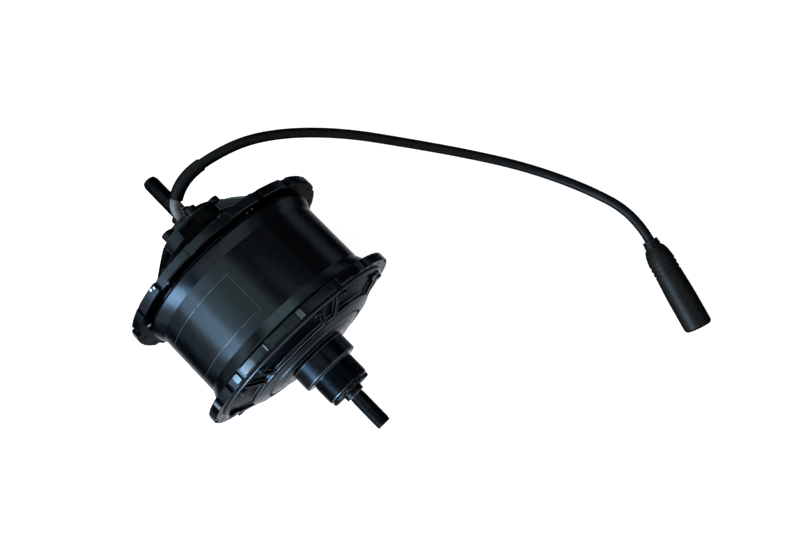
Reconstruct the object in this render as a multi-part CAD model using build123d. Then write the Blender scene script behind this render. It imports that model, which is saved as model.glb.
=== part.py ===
from build123d import *
import math
import os

# Geared hub motor for an electric bicycle, in millimetres.
# The axle lies along Y with its middle at the origin. +Y is the cable and brake disc side,
# -Y the drive side, +Z is up. Angles are in degrees, counted from +Z towards +X.

os.makedirs("parts", exist_ok=True)

# Shared values
overrun = 3.0  # how far a cut runs past the face it opens
shaft_gap = 0.1  # radial running clearance of a bore on the axle
turning_gap = 0.5  # clearance between faces that pass each other
full_turn = 360.0

# Gear train: sun, three planets, ring. The ring gear sets the bore of the shell
gear_module = 1.5
sun_teeth = 15
planet_teeth = 30
ring_teeth = 75
pressure_angle = 20.0
addendum_share = 0.8  # of the module
dedendum_share = 1.25  # of the module
backlash = 0.2
planet_count = 3
gear_mid = -24.5
planet_width = 18.0
ring_width = 20.0
ring_wall = 3.775  # metal outside the ring gear's roots
ring_outer_radius = gear_module * (ring_teeth / 2 + dedendum_share) + ring_wall
sun_bore_gap = 0.2
sun_reach = 0.8  # sun face beyond the planet face
sun_flange_radius = 14.0
sun_flange_width = 2.0
bush_radius = 7.0
pin_radius = 5.0
planet_hub_radius = 10.5
planet_recess_depth = 3.0
planet_rim_wall = 3.1  # between recess and tooth roots
planet_rim_radius = gear_module * (planet_teeth / 2 - dedendum_share) - planet_rim_wall
centre_distance = gear_module * (sun_teeth + planet_teeth) / 2
clip_thickness = 1.0
clip_height = 2.0
clip_groove = 0.5
clip_opening = 40.0

# Hub shell: a barrel between two spoke flanges
flange_face = 42.3  # outer face of each flange from the middle
flange_width = 7.0
skirt_wall = 3.3  # of the drive cover, round the ring gear
skirt_gap = 0.3
barrel_wall = 4.1
flange_height = 13.8  # the lug tops, which the motor lies on, over the barrel
skirt_radius = ring_outer_radius + skirt_wall
shell_bore_radius = skirt_radius + skirt_gap
barrel_radius = shell_bore_radius + barrel_wall
lug_radius = barrel_radius + flange_height
barrel_half_width = 24.5
flare_width = 7.6
flare_rise = 3.4
flare_radius = barrel_radius + flare_rise
groove_depth = 2.4  # the undercut between flare and flange
groove_rise = 0.9
groove_radius = barrel_radius + groove_rise
lug_edge_break = 0.8
spoke_count = 18
spoke_setback = 4.9  # spoke hole circle below the lug tops
spoke_circle_radius = lug_radius - spoke_setback
spoke_hole_radius = 1.6
drive_spoke_angle = 0.0
disc_spoke_angle = 10.0
notch_repeats = 9
deep_notch_width = 8.6
deep_notch_depth = 2.6
narrow_notch_width = 3.9
wide_notch_width = 5.0
narrow_notch_depth = 1.3
drive_deep_angle = -30.4
drive_narrow_angle = -22.3
drive_step_angle = -3.6
disc_deep_angle = 20.0
disc_wide_angle = 0.0

# Covers, shared sizes
cover_lap = 6.0  # rim of each cover beyond the barrel
cover_rim_radius = barrel_radius + cover_lap
cover_rim_edge = 0.9
cover_wall = 4.0
gasket_thickness = 0.5
gasket_setback = 1.0
gasket_inner_radius = shell_bore_radius + gasket_setback
spigot_gap = 0.1
spigot_radius = shell_bore_radius - spigot_gap
spigot_depth = 5.0
screw_setback = 4.6  # screw circle inside the rim
screw_circle_radius = cover_rim_radius - screw_setback
screw_count = 12
screw_hole_radius = 2.0
screw_head_radius = 3.3
screw_head_height = 2.4
screw_length = 7.5
screw_boss_radius = 4.4
socket_across = 2.5
socket_sides = 6
socket_depth = 1.3

# Drive side cover: cone, pocket ring, raised centre, boss and freewheel thread.
# Radii given as shares lie between the boss, 0, and the rim, 1
boss_radius = 22.7
cover_reach = cover_rim_radius - boss_radius
pocket_sectors = 6
pocket_pair_angle = 32.0  # middle of a narrow pocket
narrow_pocket_span = 8.5
rib_span = 2.3
screw_offset_angle = 9.6
pocket_setback = 2.6  # pockets' outer end inside the rim
pocket_outer_radius = cover_rim_radius - pocket_setback
pocket_inner_share = 0.62
pocket_inner_radius = boss_radius + pocket_inner_share * cover_reach
pocket_depth = 2.6
cone_share = 0.894
cone_radius = boss_radius + cone_share * cover_reach
cone_height = 3.6
mid_share = 0.705
mid_radius = boss_radius + mid_share * cover_reach
mid_height = 6.5
crown_share = 0.573
crown_radius = boss_radius + crown_share * cover_reach
crown_height = 9.2
ridge_share = 0.403
ridge_radius = boss_radius + ridge_share * cover_reach
ridge_height = 11.3
ridge_groove_width = 2.2
ridge_groove_depth = 1.6
plate_share = 0.25
plate_radius = boss_radius + plate_share * cover_reach
plate_height = 12.4
hill_share = 0.12
hill_radius = boss_radius + hill_share * cover_reach
hill_height = 14.2
boss_face = 70.6
boss_edge_break = 1.0
thread_radius = 17.46  # 1.375 inch freewheel thread
thread_end = 88.5
thread_edge_break = 0.8
cover_inner_share = 0.327
cover_inner_radius = boss_radius + cover_inner_share * cover_reach
cover_inner_height = 8.4

# Disc side cover: dome, buttresses and the six-lobed brake disc mount.
# Radii given as shares lie between the mount's base, 0, and the rim, 1
base_radius = 31.6
dome_reach = cover_rim_radius - base_radius
dome_edge_share = 0.793
dome_radius = base_radius + dome_edge_share * dome_reach
dome_edge_height = 3.2
dome_mid_share = 0.418
dome_mid_radius = base_radius + dome_mid_share * dome_reach
dome_mid_height = 11.5
base_step = 1.4
dome_top_radius = base_radius + base_step
dome_top_height = 21.0
base_end = 72.8
buttress_count = 6
buttress_angle = 5.0
buttress_width = 14.5
buttress_share = 0.577
buttress_outer_radius = base_radius + buttress_share * dome_reach
buttress_top_step = 4.4
buttress_top_radius = base_radius + buttress_top_step
buttress_top = 69.0
mount_face = 79.6
mount_core_radius = 22.4
lobe_count = 6
lobe_angle = 24.0
lobe_centre_radius = 23.9
lobe_radius = 4.6
disc_circle_radius = 22.0
disc_hole_radius = 2.1
disc_hole_depth = 8.0

# Axle
axle_half_length = 124.5
axle_thread_radius = 6.0
axle_tip_break = 1.0
flats_across = 10.0
flats_length = 13.6
drive_shoulder = 95.3
disc_shoulder = 90.1
drive_seat_radius = 7.5
rotor_seat_radius = 8.5
stator_seat_radius = 10.0
bearing_seat_radius = 12.5
collar_radius = 8.8
collar_start = 79.8
cable_bore_radius = 4.2
cable_slot_width = 8.4
cable_bore_start = 34.0
cable_bore_end = 88.0
inner_slot_length = 9.0
outer_slot_start = 80.0

# Ball bearings: bore radius, outer radius and width of each size
small_bearing = (7.5, 14.0, 7.0)
drive_bearing = (7.5, 16.0, 9.0)
rotor_bearing = (8.5, 15.0, 7.0)
disc_bearing = (12.5, 23.5, 12.0)
race_share = 0.22  # thickness of a race as a share of the ring's height
ball_gap = 0.25
ball_count = 7
cage_thickness = 0.9
small_bearing_start = -87.5
drive_bearing_start = -65.5
disc_bearing_start = 58.0
inner_bearing_start = -11.0
second_bearing_start = 3.8

# Planet carrier and one-way clutch
carrier_start = -40.0
carrier_thickness = 4.5
carrier_lobe_radius = 9.0
carrier_hub_radius = 20.5
carrier_hub_start = -49.0
clutch_race_radius = 11.5
clutch_roller_radius = 2.0
clutch_roller_count = 8
clutch_length = 10.0

# Rotor
rotor_hub_radius = 19.0
rotor_hub_end = 10.8
rotor_hub_start = -13.0
rotor_lip_radius = 12.9
web_start = -10.5
web_thickness = 4.0
web_hole_count = 6
web_hole_radius = 9.0
rotor_gap = 4.5  # between rotor ring and shell
rotor_ring_wall = 2.7
rotor_ring_outer = shell_bore_radius - rotor_gap
rotor_ring_inner = rotor_ring_outer - rotor_ring_wall
web_hole_place = (rotor_hub_radius + rotor_ring_inner) / 2
rotor_ring_end = 25.5
magnet_count = 20
magnet_thickness = 3.1
magnet_start = -3.5
magnet_end = 22.5
magnet_span_share = 0.86

# Stator
air_gap = 0.8
stator_radius = rotor_ring_inner - magnet_thickness - air_gap
stator_start = -1.5
stator_end = 20.5
slot_count = 18
tooth_width = 8.0
tooth_tip_height = 2.4
tooth_tip_share = 0.8
tooth_length = 16.4
yoke_width = 8.0
yoke_radius = stator_radius - tooth_length
stator_bore_radius = yoke_radius - yoke_width
coil_overhang = 3.6
coil_thickness = 3.6
coil_gap = 0.15
coil_foot = 1.0  # clear of the yoke
coil_setback = 3.2  # inside the tooth's tip face
coil_inner_radius = yoke_radius + coil_foot
coil_outer_radius = stator_radius - coil_setback
coil_corner_radius = 2.5
spider_start = 12.0
spider_end = 26.0
spider_hub_radius = 17.0
spider_rim_width = 3.0
spider_disc_thickness = 6.5
spider_arm_count = 5
spider_arm_width = 8.0
key_width = 5.0
key_height = 5.0
key_length = 12.0
key_angle = 90.0

# Hall sensor board and wires
board_gap = 0.3
board_thickness = 1.6
board_setback = 0.6  # inside the coils' inner and outer ends
board_inner_radius = coil_inner_radius + board_setback
board_outer_radius = coil_outer_radius - board_setback
board_span = 96.0
board_angle = -62.0
sensor_count = 3
sensor_pitch = 26.7
sensor_size = 4.0
sensor_height = 1.5
phase_count = 3
phase_wire_radius = 1.3
phase_wire_rise = 30.0
phase_wire_bend = 5.0
phase_wire_pitch = 2.8
cable_core_radius = 3.6

# Seals, spacers and washer on the axle
seal_radius = 15.5
seal_width = 6.0
seal_recess = 0.6
drive_seal_width = 4.0
dust_disc_radius = 16.3
dust_disc_thickness = 2.6
dust_disc_gap = 0.5
spacer_radius = 10.4

# Cord: elbow, sleeve, cable and connector
elbow_radius = 3.7
sleeve_radius = 4.9
cable_radius = 3.8
elbow_route = [(0.0, 84.0, 4.0), (0.0, 84.0, 11.5), (2.4, 89.7, 17.9), (7.5, 92.5, 19.5)]
sleeve_route = [(7.5, 92.5, 19.5), (20.25, 99.5, 23.5), (38.25, 96.8, 21.4)]
cable_route = [
    (38.25, 96.8, 21.4),
    (62.25, 93.2, 18.6),
    (94.5, 80.0, -1.0),
    (128.5, 55.0, -28.0),
    (160.0, 20.0, -52.0),
    (191.0, -18.5, -70.0),
    (218.5, -59.5, -79.5),
    (239.5, -106.0, -79.5),
    (249.4, -148.0, -72.4),
    (242.4, -171.0, -72.4),
]
bend_share = 0.45  # of the shorter run beside a bend
connector_radius = 11.0
connector_length = 78.0
collar_length = 6.6
collar_lip_radius = 6.1
collar_lip_length = 2.4
collar_neck_radius = 6.6
collar_groove_count = 2
collar_groove_pitch = 1.8
collar_groove_width = 0.7
collar_groove_depth = 0.6
shoulder_radius = 7.5
shoulder_length = 3.2
waist_radius = 9.8
waist_length = 8.0
grip_radius = 10.4
grip_start = 20.2
grip_count = 3
grip_pitch = 3.9
grip_width = 1.4
grip_depth = 0.6
grip_run = 12.0
nose_round = 2.4
nose_round_share = 0.3
insert_radius = 7.8
insert_depth = 14.0
insert_gap = 1.2
contact_setback = 3.5
power_pin_count = 3
power_pin_place = 3.1
signal_pin_count = 6
signal_pin_place = 6.0
power_pin_radius = 1.0
signal_pin_radius = 0.6


def turned(points):
    """Solid of revolution about the axle from (radius, y) points."""
    return revolve(make_face(Polyline(*points, close=True)), Axis.Y)


def tube(inner_radius, outer_radius, start, end):
    return turned([(inner_radius, start), (outer_radius, start), (outer_radius, end), (inner_radius, end)])


def bar(radius, start, end):
    return turned([(0, start), (radius, start), (radius, end), (0, end)])


def across(y):
    """Plane square to the axle at y, local x up and local y along +X."""
    return Plane(origin=(0, y, 0), x_dir=(0, 0, 1), z_dir=(0, 1, 0))


def polar(radius, angle):
    turn = math.radians(angle)
    return (radius * math.cos(turn), radius * math.sin(turn))


def slab(sketch, start, end):
    """A flat sketch carried along the axle from start to end."""
    return extrude(across(start) * sketch, amount=end - start)


def peg(radius, centre_radius, angle, start, end):
    return slab(Pos(*polar(centre_radius, angle)) * Circle(radius), start, end)


def sector(points, angle, span):
    """Partial solid of revolution from (radius, y) points, centred on an angle."""
    solid = revolve(make_face(Polyline(*points, close=True)), Axis.Y, span)
    return Rot(0, angle - span / 2 - full_turn / 4, 0) * solid


def even_angles(count, first):
    return [first + full_turn * step / count for step in range(count)]


def screw_angles():
    angles = []
    for middle in even_angles(pocket_sectors, pocket_pair_angle):
        angles.append(middle - screw_offset_angle)
        angles.append(middle + screw_offset_angle)
    return angles


def mesh_angles():
    return even_angles(planet_count, 0)


def lug_notch(angle, width, depth, start):
    floor = lug_radius - depth
    cutter = Pos(floor + overrun, 0) * Rectangle(2 * overrun, width)
    return slab(Rot(0, 0, angle) * cutter, start - overrun, start + flange_width + overrun)


def flange_notches(start, plan):
    cutters = []
    for first, width, depth in plan:
        for angle in even_angles(notch_repeats, first):
            cutters.append(lug_notch(angle, width, depth, start))
    return cutters


def flange_holes(start, first):
    holes = []
    for angle in even_angles(spoke_count, first):
        holes.append(peg(spoke_hole_radius, spoke_circle_radius, angle, start - overrun,
                         start + flange_width + overrun))
    return holes


def hub_shell():
    inner_face = flange_face - flange_width
    half = [
        (barrel_radius, 0),
        (barrel_radius, barrel_half_width),
        (flare_radius, barrel_half_width + flare_width),
        (flare_radius, inner_face - groove_depth),
        (groove_radius, inner_face - groove_depth),
        (groove_radius, inner_face),
        (lug_radius - lug_edge_break, inner_face),
        (lug_radius, inner_face + lug_edge_break),
        (lug_radius, flange_face - lug_edge_break),
        (lug_radius - lug_edge_break, flange_face),
        (shell_bore_radius, flange_face),
    ]
    mirrored = [(radius, -y) for radius, y in reversed(half[1:])]
    body = turned(half + mirrored)
    drive_start = -flange_face
    drive_plan = [
        (drive_deep_angle, deep_notch_width, deep_notch_depth),
        (drive_narrow_angle, narrow_notch_width, narrow_notch_depth),
        (drive_step_angle, narrow_notch_width, narrow_notch_depth),
    ]
    disc_plan = [
        (disc_deep_angle, deep_notch_width, deep_notch_depth),
        (disc_wide_angle, wide_notch_width, narrow_notch_depth),
    ]
    cutters = flange_notches(drive_start, drive_plan)
    cutters += flange_notches(inner_face, disc_plan)
    cutters += flange_holes(drive_start, drive_spoke_angle)
    cutters += flange_holes(inner_face, disc_spoke_angle)
    for angle in screw_angles():
        hole = peg(screw_hole_radius, screw_circle_radius, angle, inner_face, flange_face + overrun)
        cutters += [hole, mirror(hole, Plane.XZ)]
    return body - cutters


def screw_seat_height():
    """Height of a cover screw's head seat over the flange face."""
    return gasket_thickness + cover_rim_edge


def drive_outline():
    """Outside of the drive cover from its rim to the boss, as (radius, height over the flange face)."""
    base = gasket_thickness
    return [
        (cover_rim_radius, base),
        (cover_rim_radius, base + cover_rim_edge),
        (cone_radius, cone_height),
        (mid_radius, mid_height),
        (crown_radius, crown_height),
        (ridge_radius, ridge_height),
        (ridge_radius, ridge_height - ridge_groove_depth),
        (ridge_radius - ridge_groove_width, ridge_height - ridge_groove_depth),
        (ridge_radius - ridge_groove_width, ridge_height),
        (plate_radius, plate_height),
        (hill_radius, hill_height),
        (boss_radius, hill_height),
    ]


def height_at(outline, radius):
    """Height of an outline of (radius, height) points, falling in radius, at one radius."""
    for (outer, low), (inner, high) in zip(outline, outline[1:]):
        if inner <= radius <= outer and outer > inner:
            return low + (high - low) * (outer - radius) / (outer - inner)
    return outline[-1][1]


def drive_pocket(angle, span):
    slope = [(cone_radius, cone_height), (mid_radius, mid_height), (crown_radius, crown_height)]
    slope = [(cover_rim_radius, gasket_thickness + cover_rim_edge)] + slope
    radii = [pocket_outer_radius, cone_radius, mid_radius, pocket_inner_radius]
    floor = [(radius, -flange_face - height_at(slope, radius) + pocket_depth) for radius in radii]
    top = -flange_face - crown_height - overrun
    points = floor + [(pocket_inner_radius, top), (pocket_outer_radius, top)]
    return sector(points, angle, span)


def drive_side_cover():
    face = -flange_face
    outside = [(radius, face - height) for radius, height in drive_outline()]
    boss = [
        (boss_radius, -boss_face + boss_edge_break),
        (boss_radius - boss_edge_break, -boss_face),
        (thread_radius, -boss_face),
        (thread_radius, -thread_end + thread_edge_break),
        (thread_radius - thread_edge_break, -thread_end),
    ]
    small_bore, small_outer, small_width = small_bearing
    drive_bore, drive_outer, drive_width = drive_bearing
    passage = drive_seat_radius + drive_seal_gap()
    inner = [
        (small_outer, -thread_end),
        (small_outer, small_bearing_start + small_width),
        (passage, small_bearing_start + small_width),
        (passage, drive_bearing_start),
        (drive_outer, drive_bearing_start),
        (drive_outer, face - cover_inner_height),
        (cover_inner_radius, face - cover_inner_height),
        (ring_outer_radius, face),
        (ring_outer_radius, gear_mid + ring_width / 2 + clip_thickness + cover_rim_edge),
        (skirt_radius, gear_mid + ring_width / 2 + clip_thickness + cover_rim_edge),
        (skirt_radius, face - gasket_thickness),
    ]
    body = turned(outside + boss + inner)
    cutters = []
    screw_pillars = []
    for angle in screw_angles():
        screw_pillars.append(peg(screw_boss_radius, screw_circle_radius, angle, face - boss_face, face))
        cutters.append(peg(screw_hole_radius, screw_circle_radius, angle, face - boss_face, face + overrun))
        seat = face - screw_seat_height()
        cutters.append(peg(screw_head_radius, screw_circle_radius, angle, face - boss_face, seat))
    pockets = []
    wide_span = full_turn / pocket_sectors - narrow_pocket_span - 2 * rib_span
    for middle in even_angles(pocket_sectors, pocket_pair_angle):
        pockets.append(drive_pocket(middle, narrow_pocket_span))
        pockets.append(drive_pocket(middle + full_turn / pocket_sectors / 2, wide_span))
    pockets = [pocket - screw_pillars for pocket in pockets]
    groove_start = gear_mid + ring_width / 2
    clip_seat = tube(ring_outer_radius - overrun, ring_outer_radius + clip_groove, groove_start,
                     groove_start + clip_thickness)
    return body - pockets - cutters - clip_seat


def drive_seal_gap():
    """Radial room between axle and cover for the seal between the two drive side bearings."""
    return (small_bearing[1] - small_bearing[0]) / 2


def disc_outline():
    base = gasket_thickness
    return [
        (cover_rim_radius, base),
        (cover_rim_radius, base + cover_rim_edge),
        (dome_radius, dome_edge_height),
        (dome_mid_radius, dome_mid_height),
        (dome_top_radius, dome_top_height),
        (base_radius, dome_top_height),
    ]


def buttress(angle):
    """A rib from the dome up to the disc mount, one sloped slab."""
    outline = [
        (base_radius - overrun, flange_face + dome_mid_height),
        (buttress_outer_radius, flange_face + height_at(disc_outline(), buttress_outer_radius)),
        (buttress_top_radius, buttress_top),
        (base_radius - overrun, buttress_top),
    ]
    side = make_face(Polyline(*[(0, y, radius) for radius, y in outline], close=True))
    return Rot(0, angle, 0) * extrude(side, amount=buttress_width / 2, both=True, dir=(1, 0, 0))


def disc_side_cover():
    face = flange_face
    outside = [(radius, face + height) for radius, height in disc_outline()]
    outside += [(base_radius, base_end), (mount_core_radius, base_end), (mount_core_radius, mount_face)]
    bore, outer, width = disc_bearing
    shoulder = seal_radius + seal_recess
    inner = [
        (seal_radius, mount_face),
        (seal_radius, disc_bearing_start + width + seal_recess),
        (shoulder, disc_bearing_start + width + seal_recess),
        (shoulder, disc_bearing_start + width),
        (outer, disc_bearing_start + width),
        (outer, disc_bearing_start),
        (outer + cover_wall, disc_bearing_start),
        (outer + cover_wall, face + dome_top_height - cover_wall),
        (dome_mid_radius, face + dome_mid_height - cover_wall),
        (spigot_radius - cover_wall, face + gasket_thickness - spigot_depth + cover_wall),
        (spigot_radius - cover_wall, face - spigot_depth),
        (spigot_radius, face - spigot_depth),
        (spigot_radius, face + gasket_thickness),
    ]
    body = turned(outside + inner)
    ribs = []
    for angle in even_angles(buttress_count, buttress_angle):
        ribs.append(buttress(angle))
    lobes = []
    holes = []
    for angle in even_angles(lobe_count, lobe_angle):
        lobe = Rot(0, 0, angle) * Pos(lobe_centre_radius - mount_core_radius / 2, 0)
        shape = lobe * Rectangle(mount_core_radius, 2 * lobe_radius)
        shape += Pos(*polar(lobe_centre_radius, angle)) * Circle(lobe_radius)
        lobes.append(slab(shape, base_end, mount_face))
        holes.append(peg(disc_hole_radius, disc_circle_radius, angle, mount_face - disc_hole_depth,
                         mount_face + overrun))
    room = bar(seal_radius, base_end - overrun, mount_face + overrun)
    cutters = []
    for angle in screw_angles():
        seat = face + screw_seat_height()
        top = face + dome_mid_height
        cutters.append(peg(screw_hole_radius, screw_circle_radius, angle, face - overrun, top))
        cutters.append(peg(screw_head_radius, screw_circle_radius, angle, seat, top))
    lobes = [lobe - room for lobe in lobes]
    return body + ribs + lobes - holes - cutters


def cover_screws(side):
    """Cap screws round one cover, heads outward."""
    solids = []
    seat = flange_face + screw_seat_height()
    for angle in screw_angles():
        top = seat + screw_head_height
        head = peg(screw_head_radius - shaft_gap, screw_circle_radius, angle, seat, top)
        shank = peg(screw_hole_radius, screw_circle_radius, angle, seat - screw_length, seat)
        socket = RegularPolygon(socket_across / 2, socket_sides, major_radius=False)
        socket = Pos(*polar(screw_circle_radius, angle)) * socket
        recess = slab(socket, top - socket_depth, top + overrun)
        solids.append(head + shank - recess)
    if side < 0:
        solids = [mirror(solid, Plane.XZ) for solid in solids]
    return solids


def cover_gasket(side):
    ring = tube(gasket_inner_radius, cover_rim_radius, flange_face, flange_face + gasket_thickness)
    low, high = flange_face - overrun, flange_face + overrun
    for angle in screw_angles():
        ring -= peg(screw_hole_radius, screw_circle_radius, angle, low, high)
    return ring if side > 0 else mirror(ring, Plane.XZ)


def axle_flats(start):
    keep = Rectangle(flats_across, 2 * collar_radius)
    round_bar = bar(axle_thread_radius + overrun, start, start + flats_length)
    return round_bar - slab(keep, start - overrun, start + flats_length + overrun)


def axle():
    tip = axle_half_length
    seat_end = disc_bearing_start + disc_bearing[2]
    outline = [
        (0, -tip),
        (axle_thread_radius - axle_tip_break, -tip),
        (axle_thread_radius, -tip + axle_tip_break),
        (axle_thread_radius, -drive_shoulder),
        (drive_seat_radius, -drive_shoulder),
        (drive_seat_radius, inner_bearing_start),
        (rotor_seat_radius, inner_bearing_start),
        (rotor_seat_radius, rotor_hub_end),
        (stator_seat_radius, rotor_hub_end),
        (stator_seat_radius, spider_end),
        (bearing_seat_radius, spider_end),
        (bearing_seat_radius, seat_end),
        (stator_seat_radius, seat_end),
        (stator_seat_radius, collar_start),
        (collar_radius, collar_start),
        (collar_radius, disc_shoulder - axle_tip_break),
        (collar_radius - axle_tip_break, disc_shoulder),
        (axle_thread_radius, disc_shoulder),
        (axle_thread_radius, tip - axle_tip_break),
        (axle_thread_radius - axle_tip_break, tip),
        (0, tip),
    ]
    body = turned(outline)
    bore = bar(cable_bore_radius, cable_bore_start, cable_bore_end)
    slot = Pos(bearing_seat_radius, 0) * Rectangle(2 * bearing_seat_radius, cable_slot_width)
    inner_slot = slab(slot, cable_bore_start, cable_bore_start + inner_slot_length)
    outer_slot = slab(slot, outer_slot_start, cable_bore_end)
    keyway = Rot(0, 0, key_angle) * Pos(stator_seat_radius, 0) * Rectangle(key_height, key_width)
    key_cut = slab(keyway, spider_end - key_length, spider_end)
    clip_cut = tube(drive_seat_radius - clip_groove, drive_seat_radius + overrun,
                    inner_bearing_start - clip_thickness, inner_bearing_start)
    bearing_clip_cut = tube(bearing_seat_radius - clip_groove, bearing_seat_radius + overrun,
                            disc_bearing_start - clip_thickness, disc_bearing_start)
    body = body - bore - inner_slot - outer_slot - key_cut - clip_cut - bearing_clip_cut
    body -= axle_flats(disc_shoulder)
    body -= mirror(axle_flats(drive_shoulder), Plane.XZ)
    return body


def open_clip(inner_radius, start):
    """A snap ring with an open gap at the top, as thick as its groove."""
    ring = tube(inner_radius, inner_radius + clip_height, start, start + clip_thickness)
    low = start - overrun
    high = start + clip_thickness + overrun
    reach = inner_radius + clip_height + overrun
    return ring - sector([(0, low), (reach, low), (reach, high), (0, high)], 0, clip_opening)


def rotor_bearing_spacer():
    start = inner_bearing_start + rotor_bearing[2]
    return tube(rotor_seat_radius, spacer_radius, start, second_bearing_start)


def inner_race(size, start):
    bore, outer, width = size
    return tube(bore, bore + race_share * (outer - bore), start, start + width)


def outer_race(size, start):
    bore, outer, width = size
    return tube(outer - race_share * (outer - bore), outer, start, start + width)


def ball_set(size, start):
    """Balls and their cage ring, which turn together between the two races."""
    bore, outer, width = size
    room = (outer - bore) * (1 - 2 * race_share)
    middle_radius = (bore + outer) / 2
    ball_radius = room / 2 - ball_gap
    middle = start + width / 2
    solids = []
    for angle in even_angles(ball_count, 0):
        x, z = polar(middle_radius, angle)[1], polar(middle_radius, angle)[0]
        solids.append(Pos(x, middle, z) * Sphere(ball_radius))
    cage_start = middle + ball_radius
    band = ball_radius / 2
    cage = tube(middle_radius - band, middle_radius + band, cage_start - cage_thickness, cage_start)
    reach = ball_radius + ball_gap / 2
    for angle in even_angles(ball_count, 0):
        x, z = polar(middle_radius, angle)[1], polar(middle_radius, angle)[0]
        cage -= Pos(x, middle, z) * Sphere(reach)
    return solids + [cage]


def involute(angle):
    return math.tan(angle) - angle


def gear_sketch(teeth, internal, first):
    """Spur gear outline with involute flanks. An internal gear's outline is that of its hole."""
    pitch_radius = gear_module * teeth / 2
    base_radius_here = pitch_radius * math.cos(math.radians(pressure_angle))
    addendum = gear_module * addendum_share
    dedendum = gear_module * dedendum_share
    half_tooth = (math.pi * gear_module / 2 - backlash / 2) / (2 * pitch_radius)
    reference = involute(math.radians(pressure_angle))
    low = pitch_radius - (addendum if internal else dedendum)
    high = pitch_radius + (dedendum if internal else addendum)
    flank_start = max(low, base_radius_here)
    flank_end = pitch_radius + addendum if not internal else high
    steps = [flank_start, pitch_radius, flank_end]
    flank = []
    for radius in steps:
        lift = involute(math.acos(min(1, base_radius_here / radius)))
        half = half_tooth - reference + lift if internal else half_tooth + reference - lift
        flank.append((radius, half))
    if not internal and low < flank_start:
        flank.insert(0, (low, flank[0][1]))
    pitch = 2 * math.pi / teeth
    start = math.radians(first)
    points = []
    for tooth in range(teeth):
        centre = start + tooth * pitch
        for radius, half in flank:
            points.append((radius * math.cos(centre - half), radius * math.sin(centre - half)))
        for radius, half in reversed(flank):
            points.append((radius * math.cos(centre + half), radius * math.sin(centre + half)))
    if internal:
        points = ring_hole_points(flank, start, pitch, teeth)
    return make_face(Polyline(*points, close=True))


def ring_hole_points(flank, start, pitch, teeth):
    """The hole of an internal gear: its teeth point inward, so each flank runs root, tip, tip, root."""
    points = []
    for tooth in range(teeth):
        centre = start + tooth * pitch
        for radius, half in reversed(flank):
            points.append((radius * math.cos(centre - half), radius * math.sin(centre - half)))
        for radius, half in flank:
            points.append((radius * math.cos(centre + half), radius * math.sin(centre + half)))
    return points


def planet_ends():
    return gear_mid - planet_width / 2, gear_mid + planet_width / 2


def sun_gear():
    start, end = planet_ends()
    teeth = slab(gear_sketch(sun_teeth, False, 0), start - sun_reach, rotor_hub_start - sun_flange_width)
    flange = bar(sun_flange_radius, rotor_hub_start - sun_flange_width, rotor_hub_start)
    bore = bar(drive_seat_radius + sun_bore_gap, start - overrun, rotor_hub_start + overrun)
    return teeth + flange - bore


def ring_gear():
    start = gear_mid - ring_width / 2
    blank = bar(ring_outer_radius, start, start + ring_width)
    return blank - slab(gear_sketch(ring_teeth, True, 0), start - overrun, start + ring_width + overrun)


def ring_gear_clip():
    """Snap ring in the drive cover's skirt that keeps the ring gear in."""
    return open_clip(ring_outer_radius + clip_groove - clip_height, gear_mid + ring_width / 2)


def planet_gear(angle):
    start, end = planet_ends()
    half_pitch = full_turn / planet_teeth / 2
    outline = gear_sketch(planet_teeth, False, angle + half_pitch)
    recess = Circle(planet_rim_radius) - Circle(planet_hub_radius)
    place = Pos(*polar(centre_distance, angle))
    body = slab(place * outline, start, end)
    body -= slab(place * Circle(bush_radius), start - overrun, end + overrun)
    body -= slab(place * recess, start - overrun, start + planet_recess_depth)
    body -= slab(place * recess, end - planet_recess_depth, end + overrun)
    return body


def planet_bush(angle):
    start, end = planet_ends()
    place = Pos(*polar(centre_distance, angle))
    return slab(place * (Circle(bush_radius) - Circle(pin_radius + shaft_gap / 2)), start, end)


def pin_end():
    return planet_ends()[1] + turning_gap


def planet_pins():
    solids = []
    for angle in mesh_angles():
        pin = peg(pin_radius, centre_distance, angle, carrier_start, pin_end() + clip_thickness)
        ring = Circle(pin_radius + overrun) - Circle(pin_radius - clip_groove)
        ring = Pos(*polar(centre_distance, angle)) * ring
        solids.append(pin - slab(ring, pin_end(), pin_end() + clip_thickness))
    return solids


def planet_clips():
    solids = []
    for angle in mesh_angles():
        ring = Circle(pin_radius + clip_height) - Circle(pin_radius - clip_groove)
        ring -= Pos(pin_radius + clip_height, 0) * Rectangle(2 * clip_height + pin_radius, pin_radius)
        place = Pos(*polar(centre_distance, angle)) * Rot(0, 0, angle)
        solids.append(slab(place * ring, pin_end(), pin_end() + clip_thickness))
    return solids


def planet_carrier():
    start, end = carrier_start, carrier_start + carrier_thickness
    plate = Circle(carrier_hub_radius)
    for angle in mesh_angles():
        arm = Rectangle(centre_distance, 2 * carrier_lobe_radius)
        plate += Rot(0, 0, angle) * Pos(centre_distance / 2, 0) * arm
        plate += Pos(*polar(centre_distance, angle)) * Circle(carrier_lobe_radius)
    body = slab(plate, start, end) + bar(carrier_hub_radius, carrier_hub_start, start)
    track = clutch_race_radius + 2 * clutch_roller_radius
    body -= bar(track, carrier_hub_start - overrun, end + overrun)
    for angle in mesh_angles():
        body -= peg(pin_radius, centre_distance, angle, start - overrun, end + overrun)
    return body


def clutch_start():
    return carrier_hub_start + (carrier_start + carrier_thickness - carrier_hub_start - clutch_length) / 2


def clutch_inner_race():
    return tube(drive_seat_radius, clutch_race_radius, carrier_hub_start, carrier_start + carrier_thickness)


def clutch_rollers():
    circle = clutch_race_radius + clutch_roller_radius
    start = clutch_start()
    solids = []
    for angle in even_angles(clutch_roller_count, 0):
        solids.append(peg(clutch_roller_radius, circle, angle, start, start + clutch_length))
    return solids


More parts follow.
